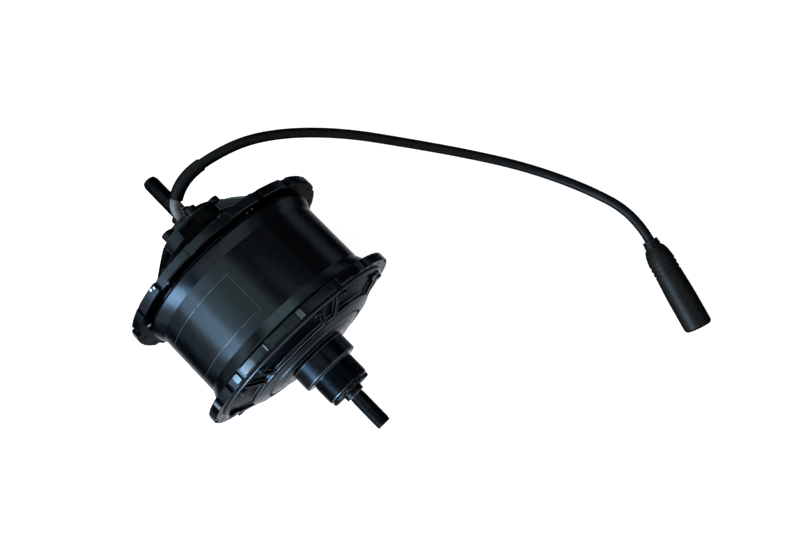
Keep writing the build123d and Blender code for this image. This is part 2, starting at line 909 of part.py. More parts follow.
def rotor_hub():
    """Aluminium hub and web that carry the magnet ring on two bearings."""
    bore, outer, width = rotor_bearing
    body = turned([
        (rotor_lip_radius, rotor_hub_start),
        (rotor_hub_radius, rotor_hub_start),
        (rotor_hub_radius, web_start),
        (rotor_ring_inner, web_start),
        (rotor_ring_inner, web_start + web_thickness),
        (rotor_hub_radius, web_start + web_thickness),
        (rotor_hub_radius, rotor_hub_end),
        (outer, rotor_hub_end),
        (outer, inner_bearing_start),
        (rotor_lip_radius, inner_bearing_start),
    ])
    holes = []
    for angle in even_angles(web_hole_count, 0):
        holes.append(peg(web_hole_radius, web_hole_place, angle, web_start - overrun,
                         web_start + web_thickness + overrun))
    return body - holes


def rotor_magnets():
    span = full_turn / magnet_count * magnet_span_share
    outer = rotor_ring_inner
    inner = outer - magnet_thickness
    points = [(inner, magnet_start), (outer, magnet_start), (outer, magnet_end), (inner, magnet_end)]
    return [sector(points, angle, span) for angle in even_angles(magnet_count, 0)]


def stator_tooth(angle):
    body_length = stator_radius - tooth_tip_height / 2 - stator_bore_radius
    bar_shape = Pos(stator_bore_radius + body_length / 2, 0) * Rectangle(body_length, tooth_width)
    pitch = full_turn / slot_count
    tip_half = pitch * tooth_tip_share / 2
    tip_inner = stator_radius - tooth_tip_height
    points = [polar(tip_inner, -tip_half / 2), polar(stator_radius - tooth_tip_height / 2, -tip_half),
              polar(stator_radius, -tip_half), polar(stator_radius, 0), polar(stator_radius, tip_half),
              polar(stator_radius - tooth_tip_height / 2, tip_half), polar(tip_inner, tip_half / 2)]
    return Rot(0, 0, angle) * (bar_shape + make_face(Polyline(*points, close=True)))


def stator_core():
    yoke = Circle(yoke_radius)
    for angle in even_angles(slot_count, 0):
        yoke += stator_tooth(angle)
    return slab(yoke - Circle(stator_bore_radius), stator_start, stator_end)


def stator_coils():
    """One coil round each tooth, a racetrack loop seen along the tooth."""
    solids = []
    inner_half = tooth_width / 2 + coil_gap
    inner_reach = (stator_end - stator_start) / 2 + coil_gap
    outer_half = inner_half + coil_thickness
    outer_reach = inner_reach + coil_overhang
    loop = RectangleRounded(2 * outer_half, 2 * outer_reach, coil_corner_radius)
    loop -= Rectangle(2 * inner_half, 2 * inner_reach)
    middle = (stator_start + stator_end) / 2
    coil_width = coil_outer_radius - coil_inner_radius
    pitch = full_turn / slot_count
    for angle in even_angles(slot_count, 0):
        side = Plane(origin=(0, middle, coil_inner_radius), x_dir=(1, 0, 0), z_dir=(0, 0, 1))
        coil = extrude(side * loop, amount=coil_width)
        half = pitch / 2 - coil_gap
        corners = [(0, 0), polar(stator_radius, -half), polar(stator_radius, half)]
        limit = make_face(Polyline(*corners, close=True))
        reach = outer_reach + overrun
        coil = coil & slab(limit, middle - reach, middle + reach)
        solids.append(Rot(0, angle, 0) * coil)
    return solids


def stator_spider():
    hub = tube(stator_seat_radius, spider_hub_radius, spider_start, spider_end)
    plate = Circle(stator_bore_radius) - Circle(stator_bore_radius - spider_rim_width)
    for angle in even_angles(spider_arm_count, 0):
        reach = stator_bore_radius - spider_rim_width / 2
        plate += Rot(0, 0, angle) * Pos(reach / 2, 0) * Rectangle(reach, spider_arm_width)
    plate -= Circle(spider_hub_radius - spider_rim_width)
    disc = slab(plate, spider_start, spider_start + spider_disc_thickness)
    disc -= bar(stator_seat_radius, spider_start - overrun, spider_end)
    keyway = Rot(0, 0, key_angle) * Pos(stator_seat_radius, 0) * Rectangle(key_height, key_width)
    return hub + disc - slab(keyway, spider_end - key_length, spider_end + overrun)


def axle_key():
    shape = Rot(0, 0, key_angle) * Pos(stator_seat_radius, 0) * Rectangle(key_height, key_width)
    return slab(shape, spider_end - key_length, spider_end)


def coil_face():
    return stator_end + coil_gap + coil_overhang


def hall_sensor_board():
    start = coil_face() + board_gap
    points = [(board_inner_radius, start), (board_outer_radius, start),
              (board_outer_radius, start + board_thickness), (board_inner_radius, start + board_thickness)]
    board = sector(points, board_angle, board_span)
    middle_radius = (board_inner_radius + board_outer_radius) / 2
    for step in range(sensor_count):
        angle = board_angle + (step - (sensor_count - 1) / 2) * sensor_pitch
        chip = Rot(0, 0, angle) * Pos(middle_radius, 0) * Rectangle(sensor_size, sensor_size)
        board += slab(chip, start + board_thickness, start + board_thickness + sensor_height)
    return board


def phase_wires():
    """Three phase wires from the end of the cable core down to the coils."""
    solids = []
    level = cable_bore_start + inner_slot_length / 2
    for step in range(phase_count):
        x = (step - (phase_count - 1) / 2) * phase_wire_pitch
        top = phase_wire_rise + 2 * phase_wire_bend
        points = [(x, level, 0), (x, level, top), (x, coil_face(), top)]
        path = FilletPolyline(*points, radius=phase_wire_bend)
        section = Plane(origin=path @ 0, z_dir=path % 0) * Circle(phase_wire_radius)
        solids.append(sweep(section, path))
    return solids


def cable_core():
    """The cable's end inside the hollow axle, turned up into the slot."""
    start = cable_bore_start + inner_slot_length / 2 + phase_wire_radius
    x, y, z = elbow_route[0]
    riser = Pos(x, y, z / 2) * Cylinder(cable_core_radius, z)
    return bar(cable_core_radius, start, y + cable_core_radius) + riser


def disc_side_seal():
    end = mount_face - seal_recess
    return tube(stator_seat_radius + shaft_gap, seal_radius, end - seal_width, end)


def drive_side_seal():
    middle = (drive_bearing_start + small_bearing_start + small_bearing[2]) / 2
    outer = drive_seat_radius + drive_seal_gap()
    half = drive_seal_width / 2
    return tube(drive_seat_radius + shaft_gap, outer, middle - half, middle + half)


def dust_disc():
    start = -thread_end - dust_disc_gap - dust_disc_thickness
    return turned([
        (drive_seat_radius, start),
        (dust_disc_radius - cover_rim_edge, start),
        (dust_disc_radius, start + cover_rim_edge),
        (dust_disc_radius, start + dust_disc_thickness),
        (drive_seat_radius, start + dust_disc_thickness),
    ])


def bend_radii(points):
    """Radius of each bend of a route: a share of its shorter run, over the tangent of half the turn."""
    radii = []
    for before, here, after in zip(points, points[1:], points[2:]):
        first = Vector(*here) - Vector(*before)
        second = Vector(*after) - Vector(*here)
        half_turn = math.radians(first.get_angle(second)) / 2
        radii.append(bend_share * min(first.length, second.length) / math.tan(half_turn))
    return radii


def cord_tube(points, radius, name):
    radii = bend_radii(points)
    path = FilletPolyline(*points, radius=radii)
    section = Plane(origin=path @ 0, z_dir=path % 0) * Circle(radius)
    solid = sweep(section, path)
    share = solid.volume / (math.pi * radius * radius * path.length)
    print(name, "bend radii", [round(value, 1) for value in radii])
    print(name, "length", round(path.length, 1), "volume over section times length", round(share, 4))
    return solid


def connector_place(solid):
    """Carry a piece modelled along +Y from the origin to the cable's end, in line with its last run."""
    before, end = cable_route[-2:]
    heading = math.degrees(math.atan2(before[0] - end[0], before[1] - end[1]))
    return Pos(*end) * Rot(0, 0, full_turn / 2 - heading) * solid


def groove(outer, depth, start, width):
    """Four outline points of one square groove in a round piece."""
    return [(outer, start), (outer - depth, start), (outer - depth, start + width), (outer, start + width)]


def connector_collar():
    """The cable's strain relief at the connector: a lip and a grooved neck."""
    outline = [(0, 0), (collar_lip_radius, 0), (collar_lip_radius, collar_lip_length)]
    outline.append((collar_neck_radius, collar_lip_length))
    for step in range(collar_groove_count):
        start = collar_lip_length + collar_groove_width + collar_groove_pitch * step
        outline += groove(collar_neck_radius, collar_groove_depth, start, collar_groove_width)
    outline += [(collar_neck_radius, collar_length), (0, collar_length)]
    return connector_place(turned(outline))


def connector_body():
    start = collar_length
    end = connector_length
    outline = [
        (0, start),
        (shoulder_radius, start),
        ((shoulder_radius + waist_radius) / 2, start + shoulder_length),
        (waist_radius, start + waist_length),
        (grip_radius, grip_start - grip_width),
    ]
    for step in range(grip_count):
        outline += groove(grip_radius, grip_depth, grip_start + grip_pitch * step, grip_width)
    outline += [
        (grip_radius, grip_start + grip_run),
        (connector_radius, end / 2 + grip_run),
        (connector_radius, end - nose_round),
        (connector_radius - nose_round * nose_round_share, end - nose_round * nose_round_share),
        (connector_radius - nose_round, end),
        (insert_radius + insert_gap, end),
        (insert_radius + insert_gap, end - insert_depth),
        (0, end - insert_depth),
    ]
    return connector_place(turned(outline))


def connector_insert():
    body = bar(insert_radius, connector_length - insert_depth, connector_length - cover_rim_edge)
    for radius, x, z in pin_places():
        body -= Pos(x, 0, z) * bar(radius, connector_length - insert_depth, connector_length)
    return connector_place(body)


def pin_places():
    places = []
    for angle in even_angles(power_pin_count, 0):
        z, x = polar(power_pin_place, angle)
        places.append((power_pin_radius, x, z))
    for angle in even_angles(signal_pin_count, full_turn / signal_pin_count / 2):
        z, x = polar(signal_pin_place, angle)
        places.append((signal_pin_radius, x, z))
    return places


def connector_contacts():
    start = connector_length - insert_depth
    end = connector_length - contact_setback
    return [connector_place(Pos(x, 0, z) * bar(radius, start, end)) for radius, x, z in pin_places()]


def save(name, shape):
    solids = shape if isinstance(shape, list) else [shape]
    pieces = []
    for solid in solids:
        pieces += solid.solids()
    export_step(Compound(children=pieces), "parts/" + name + ".step")


save("axle", axle())
save("axle_key", axle_key())
save("stator_spider", stator_spider())
save("stator_core", stator_core())
save("stator_coils", stator_coils())
save("hall_sensor_board", hall_sensor_board())
save("phase_wires", phase_wires())
save("planet_carrier", planet_carrier())
save("planet_pins", planet_pins())
save("planet_pin_clips", planet_clips())
save("clutch_inner_race", clutch_inner_race())
save("clutch_rollers", clutch_rollers())
save("rotor_bearing_clip", open_clip(drive_seat_radius - clip_groove, inner_bearing_start - clip_thickness))
save("disc_bearing_clip", open_clip(bearing_seat_radius - clip_groove, disc_bearing_start - clip_thickness))
save("rotor_bearing_spacer", rotor_bearing_spacer())
save("dust_disc", dust_disc())
save("cable_core", cable_core())
save("cable_elbow", cord_tube(elbow_route, elbow_radius, "cable_elbow"))
save("cable_sleeve", cord_tube(sleeve_route, sleeve_radius, "cable_sleeve"))
save("motor_cable", cord_tube(cable_route, cable_radius, "motor_cable"))
save("connector_collar", connector_collar())
save("connector_body", connector_body())
save("connector_insert", connector_insert())
save("connector_contacts", connector_contacts())

save("hub_shell", hub_shell())
save("drive_side_cover", drive_side_cover())
save("disc_side_cover", disc_side_cover())
save("drive_cover_screws", cover_screws(-1))
save("disc_cover_screws", cover_screws(1))
save("drive_cover_gasket", cover_gasket(-1))
save("disc_cover_gasket", cover_gasket(1))
save("ring_gear", ring_gear())
save("ring_gear_clip", ring_gear_clip())
save("disc_side_seal", disc_side_seal())
save("drive_side_seal", drive_side_seal())

save("rotor_hub", rotor_hub())
save("rotor_ring", tube(rotor_ring_inner, rotor_ring_outer, web_start, rotor_ring_end))
save("rotor_magnets", rotor_magnets())
save("sun_gear", sun_gear())

for number, place in enumerate(mesh_angles(), 1):
    save("planet_gear_" + str(number), planet_gear(place))
    save("planet_bush_" + str(number), planet_bush(place))

bearings = {
    "outboard_bearing": (small_bearing, small_bearing_start),
    "drive_bearing": (drive_bearing, drive_bearing_start),
    "disc_bearing": (disc_bearing, disc_bearing_start),
    "rotor_bearing_1": (rotor_bearing, inner_bearing_start),
    "rotor_bearing_2": (rotor_bearing, second_bearing_start),
}
for name, (size, start) in bearings.items():
    save(name + "_inner", inner_race(size, start))
    save(name + "_outer", outer_race(size, start))
    save(name + "_balls", ball_set(size, start))
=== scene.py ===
# Geared hub motor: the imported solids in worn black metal, with cut threads, a moulded cable and a round plug
import math

import bmesh
import bpy
from mathutils import Matrix, Vector


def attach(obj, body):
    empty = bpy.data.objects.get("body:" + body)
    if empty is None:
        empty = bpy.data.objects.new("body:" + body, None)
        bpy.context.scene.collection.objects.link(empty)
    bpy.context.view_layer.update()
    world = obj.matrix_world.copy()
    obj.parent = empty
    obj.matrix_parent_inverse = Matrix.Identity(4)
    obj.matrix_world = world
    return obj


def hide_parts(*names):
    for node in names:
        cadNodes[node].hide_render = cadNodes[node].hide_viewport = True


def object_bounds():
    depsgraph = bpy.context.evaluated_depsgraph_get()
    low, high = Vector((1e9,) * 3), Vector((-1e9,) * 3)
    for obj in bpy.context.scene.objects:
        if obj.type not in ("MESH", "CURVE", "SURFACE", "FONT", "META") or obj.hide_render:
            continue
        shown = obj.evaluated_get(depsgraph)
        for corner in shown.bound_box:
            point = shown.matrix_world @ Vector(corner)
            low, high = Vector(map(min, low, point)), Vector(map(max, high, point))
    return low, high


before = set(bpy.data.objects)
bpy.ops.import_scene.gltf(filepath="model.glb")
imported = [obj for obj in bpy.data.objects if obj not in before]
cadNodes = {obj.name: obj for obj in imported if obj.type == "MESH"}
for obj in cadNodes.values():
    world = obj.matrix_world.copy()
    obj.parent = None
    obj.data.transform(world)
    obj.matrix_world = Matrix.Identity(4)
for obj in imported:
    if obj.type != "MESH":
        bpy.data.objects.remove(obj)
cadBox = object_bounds()
millimetre = 0.001
fullTurn = 2 * math.pi
wheelAxis = Vector((0, 1, 0))
noShift = Vector((0, 0, 0))
print("frame loaded,", len(cadNodes), "nodes")

viewSettings = {
    "place": (0.0798, -0.1159, 0.5551),
    "right": (0.7073, -0.7031, -0.0713),
    "up": (0.7069, 0.7039, 0.0713),
    "back": (0.0, -0.1008, 0.9949),
    "lens": 35.01,
    "sensor": 36.0,
}
lampSettings = {
    "windowLamp": {"place": (-1.08, 0.12, 0.70), "size": (0.62, 0.55), "strength": 9.6,
                   "colour": (0.51, 0.75, 1.0)},
    "windowPane": {"place": (-1.08, -0.31, 0.55), "size": (0.78, 0.48), "strength": 27.0,
                   "colour": (0.45, 0.72, 1.0)},
    "windowGlow": {"place": (-0.78, 0.36, 1.03), "size": (1.3, 0.6), "strength": 3.0,
                   "colour": (0.62, 0.85, 1.0)},
    "ceilingLamp": {"place": (-0.15, 0.3, 1.6), "size": (1.0, 1.0), "strength": 1.5,
                    "colour": (0.74, 1.0, 1.0)},
    "rightGlow": {"place": (0.78, -0.4, 1.02), "size": (1.3, 0.75), "strength": 1.2,
                  "colour": (0.72, 0.9, 1.0)},
    "sideWindow": {"place": (-0.95, 1.1, 0.42), "size": (0.45, 0.36), "strength": 3.0,
                   "colour": (0.58, 0.80, 1.0)},
    "discSideLamp": {"place": (0.15, 1.5, 1.1), "size": (1.2, 0.8), "strength": 3.0,
                     "colour": (0.7, 1.0, 1.0)},
    "driveSideLamp": {"place": (-0.2, -1.15, 1.5), "size": (1.3, 0.9), "strength": 1.5,
                      "colour": (0.80, 0.88, 1.0)},
}
floorSettings = {"radius": 2.4, "cove": 0.6, "wall": 0.75, "steps": 64, "coveSteps": 6,
                 "colour": (0.42, 0.36, 0.34), "glow": 0.86}
cardSettings = {"place": (0.52, 0.08, 0.085), "size": (1.05, 0.33), "colour": (0.035, 0.035, 0.035)}
worldSettings = {"colour": (0.92, 0.97, 1.0), "strength": 0.14}


def addToScene(thing):
    bpy.context.scene.collection.objects.link(thing)
    return thing


def meshFrom(name, bm):
    mesh = bpy.data.meshes.new(name)
    bm.to_mesh(mesh)
    bm.free()
    return mesh


def emptyMaterial(name):
    material = bpy.data.materials.new(name)
    material.use_nodes = True
    material.node_tree.nodes.clear()
    return material, material.node_tree


def fillInputs(tree, made, inputs):
    # a socket is linked to the input, anything else is the input's own value
    for key, value in inputs.items():
        if isinstance(value, bpy.types.NodeSocket):
            tree.links.new(value, made.inputs[key])
        else:
            made.inputs[key].default_value = value


def shadeNode(tree, kind, inputs=None, **settings):
    made = tree.nodes.new("ShaderNode" + kind)
    for key, value in settings.items():
        setattr(made, key, value)
    fillInputs(tree, made, inputs or {})
    return made


def mathNode(tree, operation, *values, clamp=False):
    made = shadeNode(tree, "Math", dict(enumerate(values)), operation=operation, use_clamp=clamp)
    return made.outputs[0]


def makeCamera(view):
    camera = bpy.data.cameras.new("photoView")
    camera.lens = view["lens"]
    camera.sensor_width = view["sensor"]
    eye = addToScene(bpy.data.objects.new("photoView", camera))
    turn = Matrix((view["right"], view["up"], view["back"])).transposed().to_4x4()
    eye.matrix_world = Matrix.Translation(view["place"]) @ turn
    bpy.context.scene.camera = eye


def makeLamp(name, look):
    # strength is the lamp's brightness, so its energy grows with its area
    lamp = bpy.data.lights.new(name, "AREA")
    lamp.shape = "RECTANGLE"
    lamp.size, lamp.size_y = look["size"]
    lamp.energy = look["strength"] * math.pi * lamp.size * lamp.size_y
    lamp.color = look["colour"]
    holder = addToScene(bpy.data.objects.new(name, lamp))
    holder.location = look["place"]
    holder.rotation_euler = (-Vector(look["place"])).to_track_quat("-Z", "Y").to_euler()
    holder.visible_camera = False


def seenDirectly(tree):
    # 1 for rays from the camera, from mirrors and through glass
    path = shadeNode(tree, "LightPath")
    seen = mathNode(tree, "MAXIMUM", path.outputs["Is Camera Ray"], path.outputs["Is Glossy Ray"])
    return mathNode(tree, "MAXIMUM", seen, path.outputs["Is Transmission Ray"])


def floorRises(look):
    # radius and height of each ring outside the flat floor: the rounded cove, then the wall's top
    rises = []
    for step in range(1, look["coveSteps"] + 1):
        turn = math.radians(90) * step / look["coveSteps"]
        rises.append((look["radius"] + look["cove"] * math.sin(turn), look["cove"] * (1 - math.cos(turn))))
    rises.append((look["radius"] + look["cove"], look["cove"] + look["wall"]))
    return rises


def makeFloor(look):
    bm = bmesh.new()
    made = bmesh.ops.create_circle(bm, cap_ends=True, segments=look["steps"], radius=look["radius"])
    bmesh.ops.translate(bm, verts=made["verts"], vec=(0, 0, cadBox[0].z))
    rim = bm.edges[:]
    reach = look["radius"]
    height = 0
    for radius, rise in floorRises(look):
        grown = bmesh.ops.extrude_edge_only(bm, edges=rim)["geom"]
        ring = [item for item in grown if isinstance(item, bmesh.types.BMVert)]
        edges = [item for item in grown if isinstance(item, bmesh.types.BMEdge)]
        bmesh.ops.scale(bm, verts=ring, vec=(radius / reach, radius / reach, 1))
        bmesh.ops.translate(bm, verts=ring, vec=(0, 0, rise - height))
        rim = [edge for edge in edges if all(vert in ring for vert in edge.verts)]
        reach, height = radius, rise
    for face in bm.faces:
        face.smooth = True
    bmesh.ops.recalc_face_normals(bm, faces=bm.faces)
    material, tree = emptyMaterial("paleFloor")
    diffuse = shadeNode(tree, "BsdfDiffuse", {"Color": (*look["colour"], 1)})
    shine = mathNode(tree, "MULTIPLY", seenDirectly(tree), look["glow"])
    glow = shadeNode(tree, "Emission", {"Strength": shine})
    both = shadeNode(tree, "AddShader", {0: diffuse.outputs[0], 1: glow.outputs[0]})
    shadeNode(tree, "OutputMaterial", {"Surface": both.outputs[0]})
    mesh = meshFrom("studioFloor", bm)
    mesh.materials.append(material)
    addToScene(bpy.data.objects.new("studioFloor", mesh))


def makeDarkCard(look):
    # a black card out of view on the right, as a photographer sets to keep gloss black dark
    bm = bmesh.new()
    bmesh.ops.create_grid(bm, x_segments=1, y_segments=1, size=0.5)
    bmesh.ops.scale(bm, verts=bm.verts, vec=(look["size"][1], look["size"][0], 1))
    bmesh.ops.rotate(bm, verts=bm.verts, cent=noShift, matrix=Matrix.Rotation(math.radians(-90), 3, "Y"))
    bmesh.ops.translate(bm, verts=bm.verts, vec=look["place"])
    material, tree = emptyMaterial("cardBlack")
    diffuse = shadeNode(tree, "BsdfDiffuse", {"Color": (*look["colour"], 1)})
    shadeNode(tree, "OutputMaterial", {"Surface": diffuse.outputs[0]})
    mesh = meshFrom("darkCard", bm)
    mesh.materials.append(material)
    card = addToScene(bpy.data.objects.new("darkCard", mesh))
    card.visible_camera = False
    card.visible_shadow = False


def makeWorld(look):
    world = bpy.data.worlds.new("studio")
    world.use_nodes = True
    background = world.node_tree.nodes["Background"]
    background.inputs["Color"].default_value = (*look["colour"], 1)
    background.inputs["Strength"].default_value = look["strength"]
    bpy.context.scene.world = world


makeCamera(viewSettings)
makeFloor(floorSettings)
makeDarkCard(cardSettings)
makeWorld(worldSettings)
for lampName, lampLook in lampSettings.items():
    makeLamp(lampName, lampLook)
bpy.context.scene.view_settings.view_transform = "Standard"
print("camera, floor, card and", len(lampSettings), "lamps")


def shaderGroup(name, inputs, outputs):
    tree = bpy.data.node_groups.new(name, "ShaderNodeTree")
    for label, kind, value in inputs:
        socket = tree.interface.new_socket(name=label, in_out="INPUT", socket_type="NodeSocket" + kind)
        if value is not None:
            socket.default_value = value
    for label in outputs:
        tree.interface.new_socket(name=label, in_out="OUTPUT", socket_type="NodeSocketFloat")
    return tree, tree.nodes.new("NodeGroupInput").outputs, tree.nodes.new("NodeGroupOutput").inputs


def useGroup(tree, group, inputs):
    made = tree.nodes.new("ShaderNodeGroup")
    made.node_tree = group
    fillInputs(tree, made, inputs)
    return made.outputs


def asColour(value):
    return value if isinstance(value, bpy.types.NodeSocket) else (*value, 1)


def blendColours(tree, mask, first, second):
    inputs = {0: mask, 6: asColour(first), 7: asColour(second)}
    return shadeNode(tree, "Mix", inputs, data_type="RGBA").outputs[2]


def blendValues(tree, mask, first, second):
    return shadeNode(tree, "Mix", {0: mask, 2: first, 3: second}).outputs[0]


def noiseAt(tree, where, scale, detail=3.0, rough=0.55):
    inputs = {"Vector": where, "Scale": scale, "Detail": detail, "Roughness": rough}
    return shadeNode(tree, "TexNoise", inputs).outputs["Fac"]


def softStep(tree, value, low, high):
    # 0 at low and 1 at high, which may be the smaller of the two
    inputs = {"Value": value, "From Min": low, "From Max": high}
    return shadeNode(tree, "MapRange", inputs, interpolation_type="SMOOTHSTEP").outputs["Result"]


def splitPlace(tree, where):
    return shadeNode(tree, "SeparateXYZ", {0: where}).outputs


def distanceFromAxle(tree, parts):
    across = mathNode(tree, "POWER", parts["X"], 2.0)
    upward = mathNode(tree, "POWER", parts["Z"], 2.0)
    return mathNode(tree, "SQRT", mathNode(tree, "ADD", across, upward))


def makeSurfaceGrain():
    # fine height and broad patches; Size is the grain in millimetres
    tree, given, made = shaderGroup(
        "surfaceGrain", [("Vector", "Vector", None), ("Size", "Float", 0.5)], ["Height", "Patch"])
    patchSize = 14.0  # times the grain
    fine = mathNode(tree, "DIVIDE", 1 / millimetre, given["Size"])
    broad = mathNode(tree, "DIVIDE", fine, patchSize)
    patches = noiseAt(tree, given["Vector"], broad, 4.0, 0.6)
    tree.links.new(noiseAt(tree, given["Vector"], fine), made["Height"])
    tree.links.new(softStep(tree, patches, 0.3, 0.7), made["Patch"])
    return tree


def makeTurnedMarks():
    # fine rings round the wheel's axis, as a lathe leaves; Pitch is in millimetres
    tree, given, made = shaderGroup(
        "turnedMarks", [("Vector", "Vector", None), ("Pitch", "Float", 0.3)], ["Height"])
    parts = splitPlace(tree, given["Vector"])
    flat = shadeNode(tree, "CombineXYZ", {"X": distanceFromAxle(tree, parts), "Y": parts["Y"]}).outputs[0]
    scale = mathNode(tree, "DIVIDE", 1 / millimetre, given["Pitch"])
    tree.links.new(noiseAt(tree, flat, scale, 2.0, 0.5), made["Height"])
    return tree


def makeLayerLines():
    # stacked layers; Radial 0 stacks them along the axle and 1 outward from it, Pitch is in millimetres
    tree, given, made = shaderGroup(
        "layerLines", [("Vector", "Vector", None), ("Pitch", "Float", 0.5), ("Radial", "Float", 0.0)],
        ["Line"])
    parts = splitPlace(tree, given["Vector"])
    place = blendValues(tree, given["Radial"], parts["Y"], distanceFromAxle(tree, parts))
    turns = mathNode(tree, "MULTIPLY", place, fullTurn / millimetre)
    layers = mathNode(tree, "DIVIDE", turns, given["Pitch"])
    wave = mathNode(tree, "MULTIPLY_ADD", mathNode(tree, "SINE", layers), 0.5, 0.5)
    tree.links.new(wave, made["Line"])
    return tree


def makeEdgeWearAndSheen():
    # lighter patches along bevelled edges: worn paint, and on the drive cover, its turned rings and the film's
    # border a painted sheen that stands in for light catching the edges; Amount is the share of the edge that
    # is marked
    tree, given, made = shaderGroup(
        "edgeWearAndSheen", [("Vector", "Vector", None), ("Edge", "Float", 0.0), ("Amount", "Float", 0.5)], ["Mask"])
    patchScale, noWear, fullRange, fade = 260.0, 0.82, 0.6, 0.12
    patches = noiseAt(tree, given["Vector"], patchScale, 5.0, 0.65)
    limit = mathNode(tree, "SUBTRACT", noWear, mathNode(tree, "MULTIPLY", given["Amount"], fullRange))
    inputs = {"Value": patches, "From Min": limit, "From Max": mathNode(tree, "ADD", limit, fade)}
    wornAndLit = shadeNode(tree, "MapRange", inputs).outputs["Result"]
    tree.links.new(mathNode(tree, "MULTIPLY", wornAndLit, given["Edge"], clamp=True), made["Mask"])
    return tree


def makeChipAndHighlightSpot():
    # one ragged spot round Place, for a paint chip, a painted glint and a painted highlight alike; Size is in
    # metres
    tree, given, made = shaderGroup(
        "chipAndHighlightSpot", [("Vector", "Vector", None), ("Place", "Vector", None), ("Size", "Float", 0.001)],
        ["Mask"])
    raggedScale, raggedness = 900.0, 1.6
    away = shadeNode(tree, "VectorMath", {0: given["Vector"], 1: given["Place"]}, operation="DISTANCE")
    noise = noiseAt(tree, given["Vector"], raggedScale, 4.0, 0.7)
    ragged = mathNode(tree, "MULTIPLY_ADD", noise, raggedness, -raggedness / 2)
    edge = mathNode(tree, "ADD", mathNode(tree, "DIVIDE", away.outputs["Value"], given["Size"]), ragged)
    tree.links.new(softStep(tree, edge, 1.05, 0.9), made["Mask"])
    return tree


def makeFacetHighlightPatch():
    # one squared painted highlight on a lug's outer face; Angle turns it up to the top, the rest are metres
    tree, given, made = shaderGroup(
        "facetHighlightPatch", [("Vector", "Vector", None), ("Angle", "Float", 0.0), ("Along", "Float", 0.0),
                        ("Wide", "Float", 0.002), ("High", "Float", 0.002)], ["Mask"])
    raggedScale, raggedness = 900.0, 0.4
    lugStart, lugSure = 0.0822, 0.0826  # heights that tell the outer face from the notches
    turned = shadeNode(tree, "VectorRotate", {"Vector": given["Vector"], "Angle": given["Angle"]},
                       rotation_type="Y_AXIS").outputs[0]
    parts = splitPlace(tree, turned)
    across = mathNode(tree, "DIVIDE", mathNode(tree, "ABSOLUTE", parts["X"]), given["Wide"])
    offset = mathNode(tree, "ABSOLUTE", mathNode(tree, "SUBTRACT", parts["Y"], given["Along"]))
    along = mathNode(tree, "DIVIDE", offset, given["High"])
    noise = noiseAt(tree, given["Vector"], raggedScale)
    ragged = mathNode(tree, "MULTIPLY_ADD", noise, raggedness, -raggedness / 2)
    edge = mathNode(tree, "ADD", mathNode(tree, "MAXIMUM", across, along), ragged)
    outside = softStep(tree, parts["Z"], lugStart, lugSure)
    tree.links.new(mathNode(tree, "MULTIPLY", softStep(tree, edge, 1.08, 0.92), outside), made["Mask"])
    return tree


def makeSettledDust():
    # thin pale specks and a faint haze; Amount 1 is a dusty part
    tree, given, made = shaderGroup(
        "settledDust", [("Vector", "Vector", None), ("Amount", "Float", 0.3)], ["Mask"])
    hazeScale, hazeShare, speckScale, speckShare = 38.0, 0.35, 1500.0, 0.8
    haze = softStep(tree, noiseAt(tree, given["Vector"], hazeScale, 5.0, 0.65), 0.42, 0.8)
    specks = softStep(tree, noiseAt(tree, given["Vector"], speckScale, 2.0, 0.5), 0.68, 0.76)
    both = mathNode(tree, "ADD", mathNode(tree, "MULTIPLY", haze, hazeShare),
                    mathNode(tree, "MULTIPLY", specks, speckShare))
    tree.links.new(mathNode(tree, "MULTIPLY", both, given["Amount"], clamp=True), made["Mask"])
    return tree


surfaceGrain = makeSurfaceGrain()
turnedMarks = makeTurnedMarks()
layerLines = makeLayerLines()
edgeWearAndSheen = makeEdgeWearAndSheen()
chipAndHighlightSpot = makeChipAndHighlightSpot()
facetHighlightPatch = makeFacetHighlightPatch()
settledDust = makeSettledDust()
